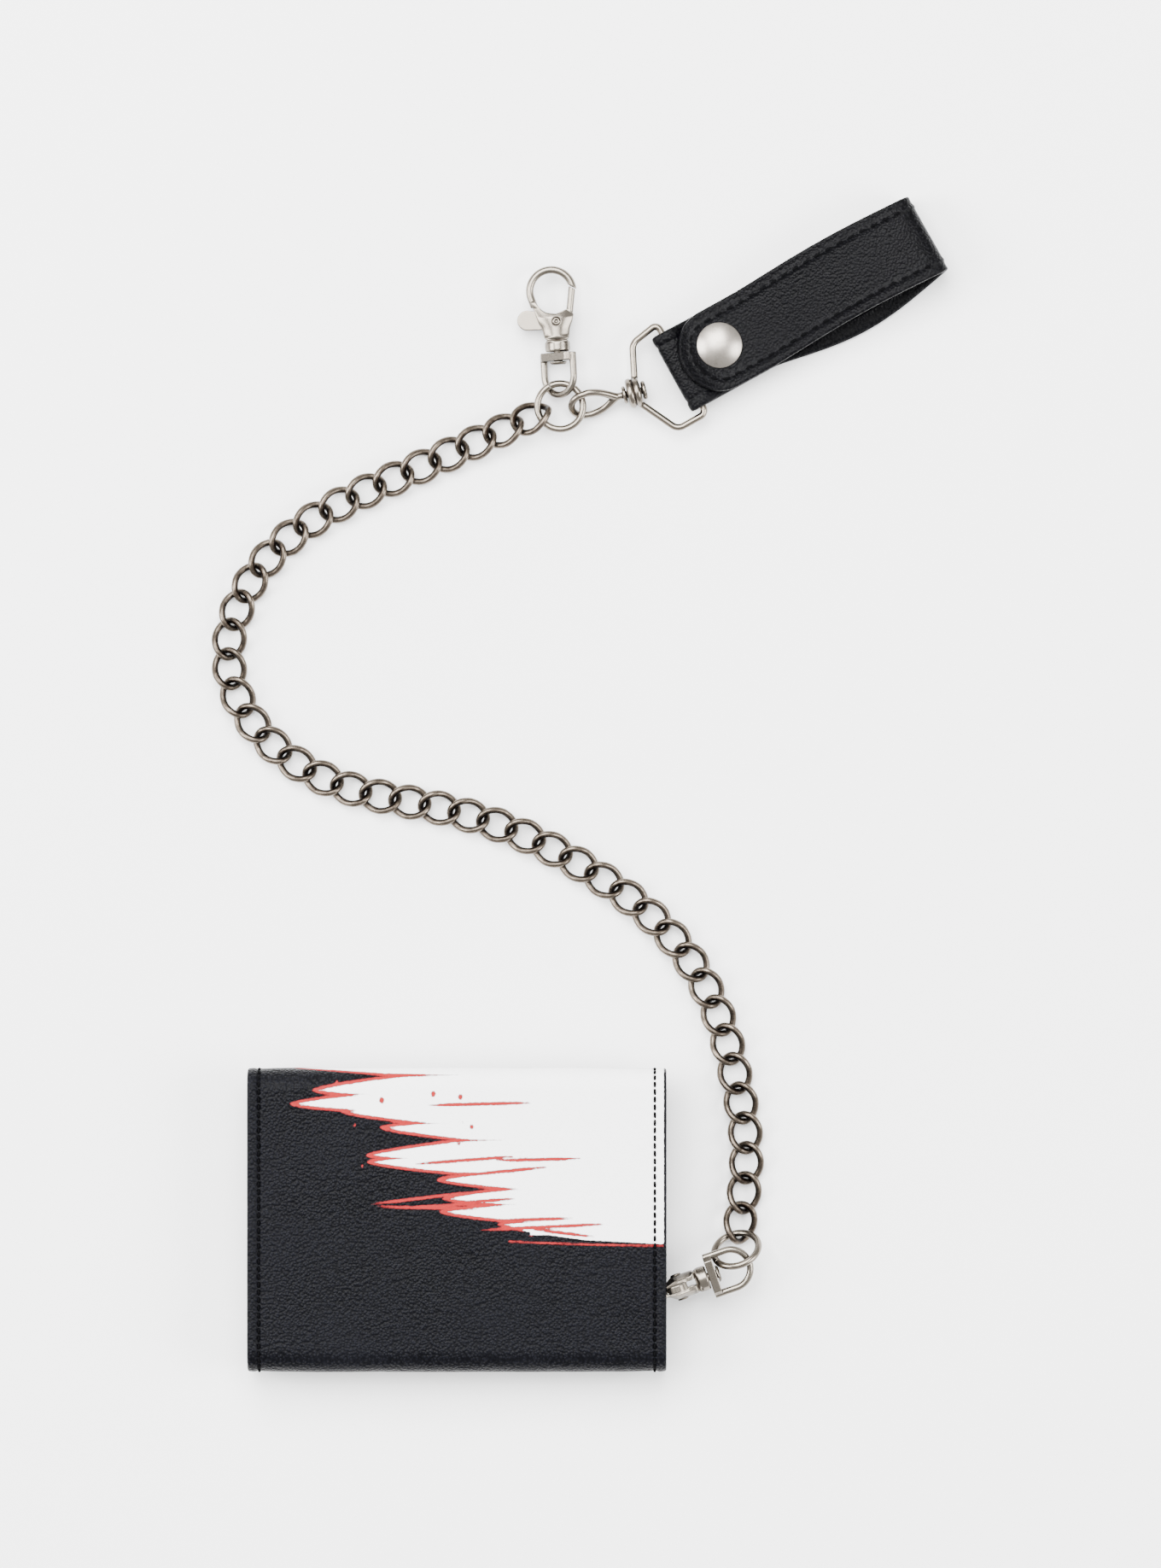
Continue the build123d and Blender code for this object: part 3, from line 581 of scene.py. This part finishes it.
inner_line = np.array(
    [(-SPINE_Y, 10.4), (-SPINE_Y, 9.9)]
    + arc((-SPINE_Y - 0.9, 9.9), 0.9, 0, -90, 8)
    + [(-37.0, 9.0)]
)
inner_line[2:, 1] = np.maximum(inner_line[2:, 1], 9.0)
inner = strip("inner_flap_leather", inner_line, rounded_end(2.5), SHELL, PLAIN,
              step=0.8, edge=0.45, cross=0.9)


# ---- stitches round the wallet ----

def seam_runs(line, sides, inset, face):
    curve = resample(line, 0.5)[0]
    normal = line_normals(curve) * face
    found = []
    for side in sides:
        surface = curve + normal * (SHELL / 2 - THREAD_SUNK)
        points = np.stack([np.full(len(curve), side * (HALF_W - inset)), surface[:, 0], surface[:, 1]], axis=1)
        found.append((points, np.stack([np.zeros(len(curve)), normal[:, 0], normal[:, 1]], axis=1)))
    return found


cover_thread = stitches("cover_stitches", seam_runs(cover_line, (-1, 1), STITCH_IN, 1), 2.1, 1.9, 0.36)
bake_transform(cover_thread)
flap_thread = stitches("flap_stitches", seam_runs(flap_line[::-1], (-1, 1), STITCH_IN, -1), 2.1, 1.7, 0.33)
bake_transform(flap_thread)


# ---- the layers inside the wallet ----

def solids_of(node):
    """The points of each separate solid of a CAD node, in millimetres, from the lowest up."""
    mesh = frame["nodes"][node].data
    co = np.array([v.co[:] for v in mesh.vertices]) / MM
    group = np.arange(len(co))
    edges = np.array([e.vertices[:] for e in mesh.edges])
    same = {}
    keys = [tuple(np.round(c, 3)) for c in co]
    for number, key in enumerate(keys):
        same.setdefault(key, number)
        group[number] = same[key]
    changed = True
    while changed:
        low = np.minimum(group[edges[:, 0]], group[edges[:, 1]])
        before = group.copy()
        np.minimum.at(group, edges[:, 0], low)
        np.minimum.at(group, edges[:, 1], low)
        group = group[group]
        for number, key in enumerate(keys):
            group[number] = min(group[number], group[same[key]])
        changed = bool((group != before).any())
    found = [co[group == g] for g in np.unique(group)]
    return sorted(found, key=lambda c: c[:, 2].min())


def layer(name, low, high, corner, material, notch=None, window=None, seed=0.0, slack=0.06, step=1.6):
    """A thin leather or cloth layer with soft edges, rounded corners, and an opening where one is given."""
    def axis(a, b, stops):
        marks = sorted({a, b, *[s for s in stops if a < s < b]})
        line = []
        for p, q in zip(marks, marks[1:]):
            line += list(np.linspace(p, q, max(2, int((q - p) / step) + 1)))[:-1]
        return np.array(line + [b])
    holes = [h for h in (notch, window) if h]
    xs = axis(low[0], high[0], [v for h in holes for v in (h[0], h[1])])
    ys = axis(low[1], high[1], [v for h in holes for v in (h[2], h[3])])
    middle = (low[2] + high[2]) / 2
    half = (high[2] - low[2]) / 2
    points = []
    for x in xs:
        for y in ys:
            dx = max(low[0] + corner - x, x - high[0] + corner, 0)
            dy = max(low[1] + corner - y, y - high[1] + corner, 0)
            reach = math.hypot(dx, dy)
            px, py = x, y
            if dx > 0 and dy > 0 and reach > corner:
                px += math.copysign(dx - dx * corner / reach, (low[0] + high[0]) / 2 - x)
                py += math.copysign(dy - dy * corner / reach, (low[1] + high[1]) / 2 - y)
            points.append((px, py, middle + slack * wobble(x, y, 23.0, seed)))
    faces = []
    columns = len(ys)
    for i in range(len(xs) - 1):
        for j in range(columns - 1):
            cx, cy = (xs[i] + xs[i + 1]) / 2, (ys[j] + ys[j + 1]) / 2
            if any(h[0] < cx < h[1] and h[2] < cy < h[3] for h in holes):
                continue
            faces.append((i * columns + j, (i + 1) * columns + j, (i + 1) * columns + j + 1, i * columns + j + 1))
    made = make_object(name, points, faces, material)
    loose = bmesh.new()
    loose.from_mesh(made.data)
    bmesh.ops.delete(loose, geom=[v for v in loose.verts if not v.link_faces], context="VERTS")
    loose.to_mesh(made.data)
    loose.free()
    thick = made.modifiers.new("thick", "SOLIDIFY")
    thick.thickness = 2 * half * MM
    thick.offset = 0.0
    rim = made.modifiers.new("rim", "BEVEL")
    rim.width = min(0.22, half * 0.6) * MM
    rim.segments = 2
    rim.limit_method = "ANGLE"
    apply_all(made)
    return made


def apply_all(made):
    bpy.context.view_layer.update()
    shape = made.evaluated_get(bpy.context.evaluated_depsgraph_get())
    mesh = bpy.data.meshes.new_from_object(shape)
    made.modifiers.clear()
    made.data = mesh
    if "rest" in mesh.attributes:
        mesh.attributes.remove(mesh.attributes["rest"])
    mesh.polygons.foreach_set("use_smooth", [True] * len(mesh.polygons))
    store_rest(made)


NOTCH = (41.0, 60.0, -34.0, -12.0)      # where the inner layers make room for the lower clasp
HALF_L = 41.25
LAYER_CORNER = 2.0


def layers_of(node, body, material, slot, trim, notch):
    """A soft layer for each solid of a node, kept short of the wallet's long edges by trim."""
    for number, solid in enumerate(solids_of(node)):
        low, high = solid.min(0), solid.max(0)
        low[1] = max(low[1], -HALF_L + trim)
        high[1] = min(high[1], HALF_L - trim)
        made = layer(f"{node}_soft_{number + 1}", low, high, LAYER_CORNER, material, notch,
                     seed=number * 1.7 + len(node), slack=0.05)
        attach(made, body)
        yield made


for node, body, material, slot, trim in (
    ("centre_panel_lining", "wallet", CLOTH, "lining_fabric", 5.2),
    ("bill_divider", "wallet", CLOTH, "lining_fabric", 4.0),
    ("centre_card_pockets", "wallet", SMOOTH, "inner_leather", 4.0),
    ("outer_flap_lining", "outer_flap", CLOTH, "lining_fabric", 5.2),
    ("outer_flap_card_pockets", "outer_flap", SMOOTH, "inner_leather", 4.0),
    ("inner_flap_lining", "inner_flap", CLOTH, "lining_fabric", 4.0),
):
    cut = NOTCH if node in ("bill_divider", "centre_card_pockets", "outer_flap_card_pockets") else None
    for piece in layers_of(node, body, material, slot, trim, cut):
        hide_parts(node)

frame_low, frame_high = (np.array(c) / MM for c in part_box("id_window_frame"))
window_low, window_high = (np.array(c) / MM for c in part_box("id_window"))
opening = (window_low[0] + 0.4, window_high[0] - 0.4, window_low[1] + 0.4, window_high[1] - 0.4)
surround = layer("window_surround", frame_low, frame_high, 3.0, SMOOTH, window=opening, seed=9.0, slack=0.03)
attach(surround, "inner_flap")
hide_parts("id_window_frame")

EYELET = Vector((47.5, -23.0, 9.6))


def cut_round(made, radius):
    """A round hole through a piece at the eyelet."""
    bpy.ops.mesh.primitive_cylinder_add(vertices=48, radius=radius * MM, depth=20 * MM, location=EYELET * MM)
    cutter = bpy.context.object
    cut = made.modifiers.new("hole", "BOOLEAN")
    cut.operation = "DIFFERENCE"
    cut.solver = "EXACT"
    cut.object = cutter
    apply_all(made)
    bpy.data.objects.remove(cutter)


cut_round(inner, 3.2)
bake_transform(inner)
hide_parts("inner_flap_shell")
for piece in [o for o in bpy.data.objects if o.name.startswith("inner_flap_lining_soft")]:
    cut_round(piece, 3.2)


# ---- the belt strap ----

STRAP_AT = np.array((58.7, 230.7, 0.0))
STRAP_ANGLE = math.radians(29.0)
STRAP_HALF = 11.5
STRAP_T = 2.0
TONGUE_R = 11.3
STRAP_STITCH = 3.2
SKEW_START = 26.0       # along the strap, where its loop begins to lie askew
SKEW_RUN = 54.0
SKEW_BELOW = -3.6       # sideways, of the layer underneath
SKEW_RISE = 4.5         # from there to the layer on top


def place_strap(points):
    """From (across, along, up) of the strap to the row frame. The loop lies a little askew: towards
    its far end the layer underneath shows beside the layer on top."""
    v, u, z = points[:, 0], points[:, 1], points[:, 2]
    askew = np.sin(math.pi * np.clip((u - SKEW_START) / SKEW_RUN, 0, 1)) ** 1.2
    v = v + askew * (SKEW_BELOW + SKEW_RISE * np.clip((z - 1.0) / 5.0, 0, 1))
    c, s = math.cos(STRAP_ANGLE), math.sin(STRAP_ANGLE)
    return np.stack([STRAP_AT[0] + u * c - v * s, STRAP_AT[1] + u * s + v * c, STRAP_AT[2] + z], axis=1)


back_line = soften([
    (73.8, 1.0), (55, 1.0), (40, 1.0), (22, 1.0), (14, 1.0), (9.0, 1.35), (6.2, 2.15), (3.3, 2.1),
    (0.9, 2.1), (0.95, 4.4), (0.9, 6.7), (3.3, 6.68), (5.6, 6.6), (8.2, 4.9), (11.0, 3.2), (15, 3.15), (27, 3.15),
])
front_line = soften([
    (73.5, 1.0), (76.2, 1.0), (79.0, 2.4), (79.3, 6.5), (79.0, 10.6), (76.0, 12.0), (70, 12.1), (60, 11.9),
    (45, 9.7), (30, 7.4), (22, 7.0), (15, 7.0), (9.5, 7.05), (6.5, 8.3), (3.7, 9.6),
])


def strap_relief(seed, tongue):
    def relief(across, along, total, width, face):
        inward = width - abs(across)
        if tongue:
            left = total - along
            if left < TONGUE_R:
                inward = TONGUE_R - math.hypot(across, TONGUE_R - left)
        furrow = -0.24 * math.exp(-((inward - STRAP_STITCH) / 0.55) ** 2)
        puff = 0.10 * math.exp(-((inward - 1.7) / 0.9) ** 2)
        slack = 0.10 * wobble(across, along, 9.0, seed) * min(1, max(inward, 0) / 3)
        return furrow + puff + slack
    return relief


def tongue_width(along, total):
    left = total - along
    if left >= TONGUE_R:
        return STRAP_HALF
    return max(math.sqrt(max(TONGUE_R ** 2 - (TONGUE_R - left) ** 2, 0)) * STRAP_HALF / TONGUE_R, 0.9)


back = strip("strap_back_leather", back_line, lambda a, t: STRAP_HALF, STRAP_T, STRAP, strap_relief(2.0, False),
             frame_at=place_strap, step=0.4, edge=0.55, cross=0.5, seam=STRAP_STITCH)
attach(back, "strap")
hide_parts("belt_strap_back")
front = strip("strap_front_leather", front_line, tongue_width, STRAP_T, STRAP,
              strap_relief(4.0, True), frame_at=place_strap, step=0.4, edge=0.55, cross=0.4,
              seam=STRAP_STITCH)
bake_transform(front)
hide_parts("belt_strap_front")


FOLD_RUN = 15.5         # of the front strip's line, from its start to where it has turned over the fold
SEAM_STEP = 0.4


def strap_seam(line, face):
    """One thread line up one side of the strip, round its tongue and back down the other side."""
    curve, along = resample(line, SEAM_STEP)
    normal = line_normals(curve) * face
    turn_at = along[-1] - TONGUE_R
    turn = TONGUE_R - STRAP_STITCH
    reach = STRAP_HALF - STRAP_STITCH
    lift = STRAP_T / 2 - THREAD_SUNK
    track = [(reach, a) for a in np.arange(FOLD_RUN, turn_at, SEAM_STEP)]
    track += [(reach * math.cos(t), turn_at + turn * math.sin(t)) for t in np.linspace(0, math.pi, 60)]
    track += [(-reach, a) for a in np.arange(turn_at, FOLD_RUN, -SEAM_STEP)]
    points = []
    ups = []
    for across, a in track:
        spot = [np.interp(a, along, curve[:, i]) for i in range(2)]
        up = np.array([np.interp(a, along, normal[:, i]) for i in range(2)])
        up /= np.linalg.norm(up)
        points.append((across, spot[0] + up[0] * lift, spot[1] + up[1] * lift))
        ups.append((0.0, up[0], up[1]))
    points = place_strap(np.array(points))
    turned = place_strap(np.array(ups)) - STRAP_AT
    return points, turned


front_thread = stitches("strap_stitches", [strap_seam(front_line, -1)], 3.5, 3.0, 0.40, 0.0)
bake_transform(front_thread)


# ---- metal pieces ----

def store_patina_and_shade(made, levels, base, shade):
    """Darkens hollows with tarnish and leaves high places rubbed bright; also paints shade on undersides and
    sides, darker the more a surface turns away from up.
    """
    mesh = made.data
    count = len(mesh.vertices)
    co = np.zeros(count * 3)
    mesh.vertices.foreach_get("co", co)
    co = co.reshape(-1, 3) / MM
    normal = np.zeros(count * 3)
    mesh.vertices.foreach_get("normal", normal)
    normal = normal.reshape(-1, 3)
    ends = np.zeros(len(mesh.edges) * 2, int)
    mesh.edges.foreach_get("vertices", ends)
    a, b = ends[0::2], ends[1::2]
    links = np.bincount(a, minlength=count) + np.bincount(b, minlength=count)
    links = np.maximum(links, 1)[:, None]

    def spread(field):
        total = np.stack([np.bincount(a, field[b][:, i], count) + np.bincount(b, field[a][:, i], count)
                          for i in range(field.shape[1])], axis=1)
        return total / links

    smooth = co.copy()
    for _ in range(levels):
        smooth = 0.5 * smooth + 0.5 * spread(smooth)
    high = ((co - smooth) * normal).sum(1, keepdims=True)
    for _ in range(3):
        high = 0.5 * high + 0.5 * spread(high)
    high = high[:, 0] / max(np.percentile(np.abs(high), 92), 1e-6)
    # painted shade: the shade term darkens surfaces that face sideways or down; the relief term is tarnish in
    # hollows and wear on high places
    patina_and_shade = base - 0.30 * np.clip(high, -1.3, 1.3) - shade * normal[:, 2]
    if "patina_and_shade" in mesh.attributes:
        mesh.attributes.remove(mesh.attributes["patina_and_shade"])
    field = mesh.attributes.new("patina_and_shade", "FLOAT", "POINT")
    field.data.foreach_set("value", patina_and_shade.astype(np.float32))


def cast_piece(node, body, material, voxel=0.14, rounds=8, base=0.42, shade=0.22, levels=40,
               place=None, form=None):
    """A CAD node's shape as a cast or drawn piece: every edge rounded over, hollows darkened with tarnish and
    undersides and sides with painted shade. form reshapes the points in the piece's own frame, which place gives."""
    source = frame["nodes"][node]
    mesh = source.data.copy()
    mesh.materials.clear()
    made = bpy.data.objects.new(node + "_worn", mesh)
    bpy.context.scene.collection.objects.link(made)
    remesh = made.modifiers.new("remesh", "REMESH")
    remesh.mode = "VOXEL"
    remesh.voxel_size = voxel * MM
    if form:
        apply_all(made)
        to_row = np.array(place)
        co = np.array([v.co[:] for v in made.data.vertices]) / MM
        local = form((co - to_row[:3, 3]) @ to_row[:3, :3])
        made.data.vertices.foreach_set("co", ((local @ to_row[:3, :3].T + to_row[:3, 3]) * MM).ravel())
    relax = made.modifiers.new("relax", "SMOOTH")
    relax.factor = 0.5
    relax.iterations = rounds
    apply_all(made)
    made.data.materials.clear()
    made.data.materials.append(material)
    store_patina_and_shade(made, levels, base, shade)
    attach(made, body)
    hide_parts(node)
    return made


def frame_of(x_axis, y_axis, origin):
    """The placing of a piece from two of its own axes and its own origin, in millimetres."""
    x_axis, y_axis = Vector(x_axis).normalized(), Vector(y_axis).normalized()
    turn = Matrix((x_axis, y_axis, x_axis.cross(y_axis))).transposed().to_4x4()
    return Matrix.Translation(origin) @ turn


UPPER_LEAN = math.radians(3.1)
UPPER_AT = (27.5, 237.2, 4.35)
LOWER_AZIMUTH = math.radians(19.0)
LOWER_REACH = 22.2      # from the eyelet to the clasp's own origin
lower_out = Vector((math.cos(LOWER_AZIMUTH), math.sin(LOWER_AZIMUTH), -0.017)).normalized()
lower_across = lower_out.cross(lower_out.cross(Vector((0, 0, 1))))
CLASP_PLACES = {
    "upper": frame_of((math.cos(UPPER_LEAN), math.sin(UPPER_LEAN), 0),
                      (-math.sin(UPPER_LEAN), math.cos(UPPER_LEAN), 0), UPPER_AT),
    "lower": frame_of(lower_across, -lower_out, EYELET + lower_out * LOWER_REACH),
}
TEAR_PLACE = Matrix.Translation((43.9, 224.9, 4.4)) @ Matrix.Rotation(math.radians(14.0), 4, "Z") @ \
    Matrix.Rotation(math.radians(44.5), 4, "X")


def hump(values, low, high):
    """A smooth rise from 0 to 1 and back, between low and high."""
    return np.sin(math.pi * np.clip((values - low) / (high - low), 0, 1)) ** 2


def cast_clasp(co):
    """Crowns the body's broad faces, draws in its waist, and turns a groove above the collar."""
    x, y, z = co.T
    left = np.interp(y, [2.6, 7.5, 10.8, 13.9], [-3.0, -4.7, -5.7, -6.7])
    right = np.interp(y, [2.6, 7.0, 10.1, 12.0], [3.0, 4.1, 4.9, 4.9])
    share = np.clip((x - (left + right) / 2) / ((right - left) / 2), -1, 1)
    in_body = np.clip((y - 3.2) / 1.2, 0, 1) * np.clip((13.5 - y) / 1.5, 0, 1)
    z = z * (1 - 0.42 * in_body * share ** 2)
    groove = 1 - 0.14 * hump(y, 2.75, 3.75)
    waist = 1 - 0.07 * hump(y, 3.6, 8.5)
    return np.stack([x * groove * waist, y, z * groove], axis=1)


def bent_teardrop(co):
    """Gives the teardrop's two sides the swell of bent wire."""
    x, y, z = co.T
    swell = np.sin(math.pi * np.clip(-x / 9.0, 0, 1)) * 0.95
    return np.stack([x, y + np.tanh(y / 0.8) * swell, z], axis=1)


PIVOT_Y = 8.2           # of the rivet, in the clasp's own frame
RIVET = (
    (0.12, 3.52), (0.42, 3.50), (0.56, 3.70), (0.90, 3.70), (1.02, 3.46),
    (1.16, 3.46), (1.28, 3.62), (1.46, 3.56), (1.52, 3.05), (0.12, 3.0),
)


def lathe(name, profile, place, body, material):
    """A piece turned about its own Z, from (radius, height) pairs, on both faces of the clasp."""
    points = []
    faces = []
    sides = 40
    for face in (1, -1):
        base = len(points)
        for radius, height in profile:
            for k in range(sides):
                angle = 2 * math.pi * k / sides
                points.append((radius * math.cos(angle), PIVOT_Y + radius * math.sin(angle), face * height))
        faces += tube_faces(base, len(profile), sides)
        faces.append(tuple(base + k for k in range(sides)))
        faces.append(tuple(base + (len(profile) - 1) * sides + k for k in range(sides)))
    turn = np.array(place)
    placed = np.array(points) @ turn[:3, :3].T + turn[:3, 3]
    deep = [0.15 if height > 3.5 else 0.62 for radius, height in profile]
    patina_and_shade = np.repeat(np.tile(deep, 2), sides)
    made = make_object(name, placed, faces, material, {"patina_and_shade": patina_and_shade})
    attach(made, body)
    return made


for side in ("upper", "lower"):
    hook = side + "_hook"
    cast_piece(side + "_clasp_hook", hook, CLASP, 0.12, 22, 0.40, 0.22, 60,
               CLASP_PLACES[side], cast_clasp)
    rivet = lathe(side + "_rivet_heads", RIVET, CLASP_PLACES[side], hook, CLASP)
    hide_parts(side + "_clasp_rivet")
    cast_piece(side + "_clasp_swivel_post", hook, CLASP, 0.10, 6, 0.55)
    cast_piece(side + "_clasp_trigger", side + "_trigger", CLASP, 0.11, 5, 0.28)
    cast_piece(side + "_clasp_bail", side + "_bail", CLASP, 0.12, 6)
    cast_piece(side + "_clasp_spring", hook, STEEL, 0.05, 1, 0.3)
    cast_piece(side + "_ring", side + "_ring", RINGS, 0.11, 3)
cast_piece("teardrop_link", "teardrop", RINGS, 0.11, 6, place=TEAR_PLACE, form=bent_teardrop)
cast_piece("coil_loop", "coil_loop", RINGS, 0.13, 4)
cast_piece("belt_snap_cap", "strap_front", SILVER, 0.12, 6, 0.40, 0.22)
for node, body in (
    ("belt_snap_socket", "strap_front"), ("belt_snap_stud", "strap"), ("belt_snap_post", "strap"),
    ("flap_snap_caps", "outer_flap"), ("flap_snap_sockets", "outer_flap"),
    ("flap_snap_studs", "inner_flap"), ("flap_snap_posts", "inner_flap"),
    ("chain_eyelet", "inner_flap"), ("eyelet_washer", "inner_flap"),
):
    cast_piece(node, body, STEEL, 0.13, 3, 0.3, 0.05, 20)
film = frame["nodes"]["id_window"]
film.data.materials.clear()
film.data.materials.append(FILM)
store_rest(film)


# ---- curb chain ----

CHAIN_GROUPS = 19
LINK_WIRE = 1.8
LINK_LENGTH = 12.16
LINK_WIDTH = 9.76
LINK_TWIST = math.radians(-42.0)
LINK_SLOPE = math.radians(-28.0)


def tangent_arc(start, direction, end, count):
    """Points of the arc that leaves start along a direction and ends at end."""
    span = end - start
    side = span - direction * span.dot(direction)
    if side.length < 1e-9:
        return [start + span * t for t in np.linspace(0, 1, count)], direction
    side = side.normalized()
    radius = span.length_squared / (2 * span.dot(side))
    centre = start + side * radius
    sweep = 2 * math.atan2(span.dot(side), span.dot(direction))
    points = [centre - side * radius * math.cos(t) + direction * radius * math.sin(t)
              for t in np.linspace(0, sweep, count)]
    return points, direction * math.cos(sweep) + side * math.sin(sweep)


def link_curve():
    end = Vector(((LINK_LENGTH - LINK_WIRE) / 2, 0, 0))
    end_dir = Vector((0, math.cos(LINK_TWIST), math.sin(LINK_TWIST)))
    side = Vector((0, (LINK_WIDTH - LINK_WIRE) / 2, 0))
    side_dir = Vector((-math.cos(LINK_SLOPE), 0, -math.sin(LINK_SLOPE)))
    span = side - end
    a = 2 * (1 - end_dir.dot(side_dir))
    b = 2 * span.dot(end_dir + side_dir)
    reach = (math.sqrt(b * b + 4 * a * span.length_squared) - b) / (2 * a)
    joint = (end + side + (end_dir - side_dir) * reach) * 0.5
    first, turned = tangent_arc(end, end_dir, joint, 14)
    second, turned = tangent_arc(joint, turned, side, 14)
    quarter = first + second[1:]
    left = [Vector((-p.x, p.y, -p.z)) for p in quarter[::-1][1:]]
    half = quarter + left
    other = [Vector((p.x, -p.y, -p.z)) for p in half[::-1][1:-1]]
    return half + other


def link_mesh(seam_at_far_end, seed):
    """One link: a closed round wire, with painted shade inside its bends, near its ends and underneath, and with
    the butt seam of its two ends.
    """
    curve = link_curve()
    count = len(curve)
    sides = 18
    seam = count // 2 if seam_at_far_end else 0
    points = []
    patina_and_shade = []
    for i, p in enumerate(curve):
        tangent = (curve[(i + 1) % count] - curve[i - 1]).normalized()
        outward = Vector((p.x * 0.55, p.y, p.z * 0.3))
        outward = (outward - tangent * outward.dot(tangent)).normalized()
        third = tangent.cross(outward)
        for k in range(sides):
            angle = 2 * math.pi * k / sides
            face = outward * math.cos(angle) + third * math.sin(angle)
            swell = 0.02 * noise.noise(Vector((p.x + seed, p.y, p.z)) * 0.7 + face)
            size = LINK_WIRE / 2 * (1.0 + swell)
            points.append(p + face * size)
            # painted shade: darker on the inside of each bend and near the link's ends, where the next links
            # touch, and darker underneath
            near_end = max(0.0, (abs(p.x) - 2.6) / 2.6)
            inside = 0.34 * math.cos(angle) * (0.45 + 0.55 * near_end)
            patina_and_shade.append(0.52 - inside - 0.17 * face.z + 0.08 * near_end)
    return points, patina_and_shade, count, sides, seam


def link_axes(co):
    """A link's middle and its own right-handed axes, longest first."""
    middle = co.mean(0)
    vectors = np.linalg.eigh(np.cov((co - middle).T))[1]
    longest, flat = vectors[:, 2], vectors[:, 0]
    return middle, longest, np.cross(flat, longest), flat


def build_chain():
    for number in range(1, CHAIN_GROUPS + 1):
        node = f"chain_links_{number:02d}"
        points = []
        faces = []
        patina_and_shade = []
        solids = solids_of(node)
        for place, co in enumerate(solids):
            middle, along, across, up = link_axes(co)
            if up[2] < 0:
                up, across = -up, -across
            far = bool(rng.integers(2))
            tube, dark, count, sides, seam = link_mesh(far, number * 3.1 + place)
            base = len(points)
            turn = np.stack([along, across, up], axis=1)
            points += [turn @ np.array(p[:]) + middle for p in tube]
            patina_and_shade += dark
            for i in range(count):
                if i == seam:
                    continue
                for k in range(sides):
                    i2, k2 = (i + 1) % count, (k + 1) % sides
                    faces.append((base + i * sides + k, base + i * sides + k2,
                                  base + i2 * sides + k2, base + i2 * sides + k))
            add_seam(points, faces, patina_and_shade, base, seam, count, sides)
        made = make_object(node + "_wire", points, faces, NICKEL, {"patina_and_shade": patina_and_shade})
        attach(made, f"chain_{number:02d}")
        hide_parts(node)


def add_seam(points, faces, patina_and_shade, base, seam, count, sides):
    """The small groove where the wire's two ends butt."""
    first = [base + seam * sides + k for k in range(sides)]
    last = [base + ((seam + 1) % count) * sides + k for k in range(sides)]
    a = np.array([points[i] for i in first])
    b = np.array([points[i] for i in last])
    mid_a, mid_b = a.mean(0), b.mean(0)
    rings = [first]
    for share, size in ((0.30, 1.0), (0.42, 0.93), (0.47, 0.72), (0.53, 0.72), (0.58, 0.93), (0.70, 1.0)):
        ring = []
        for k in range(sides):
            wall = a[k] * (1 - share) + b[k] * share
            core = mid_a * (1 - share) + mid_b * share
            ring.append(len(points))
            points.append(core + (wall - core) * size)
            patina_and_shade.append(1.1 if size < 0.9 else 0.6 if size < 1 else patina_and_shade[first[k]])
        rings.append(ring)
    rings.append(last)
    for low, high in zip(rings, rings[1:]):
        for k in range(sides):
            m = (k + 1) % sides
            faces.append((low[k], low[m], high[m], high[k]))


build_chain()


# ---- floor and light ----

bpy.ops.mesh.primitive_plane_add(size=6.0, location=(VIEW_CENTRE.x, VIEW_CENTRE.y, -0.0004))
floor = bpy.context.object
floor.name = "floor"
floor.data.materials.append(floor_material())


def area_light(name, location, target, size, power):
    data = bpy.data.lights.new(name, "AREA")
    data.size = size
    data.energy = power
    made = bpy.data.objects.new(name, data)
    bpy.context.scene.collection.objects.link(made)
    made.location = location
    made.rotation_euler = (Vector(target) - Vector(location)).to_track_quat("-Z", "Y").to_euler()
    made.visible_camera = False


LIGHTS = (              # name, offset from the view's centre in metres, size, power
    ("overhead", (-0.25, 0.75, 1.7), 1.5, 130.0),
    ("left_box", (-1.5, 0.1, 1.1), 1.0, 66.0),
    ("right_box", (1.5, -0.2, 1.2), 1.0, 54.0),
)
for name, (x, y, z), size, power in LIGHTS:
    area_light(name, (VIEW_CENTRE.x + x, VIEW_CENTRE.y + y, z), tuple(VIEW_CENTRE), size, power)

world = bpy.data.worlds.new("studio")
bpy.context.scene.world = world
world.use_nodes = True
background = world.node_tree.nodes["Background"]
background.inputs["Color"].default_value = (1.0, 1.0, 1.0, 1.0)
background.inputs["Strength"].default_value = 1.0
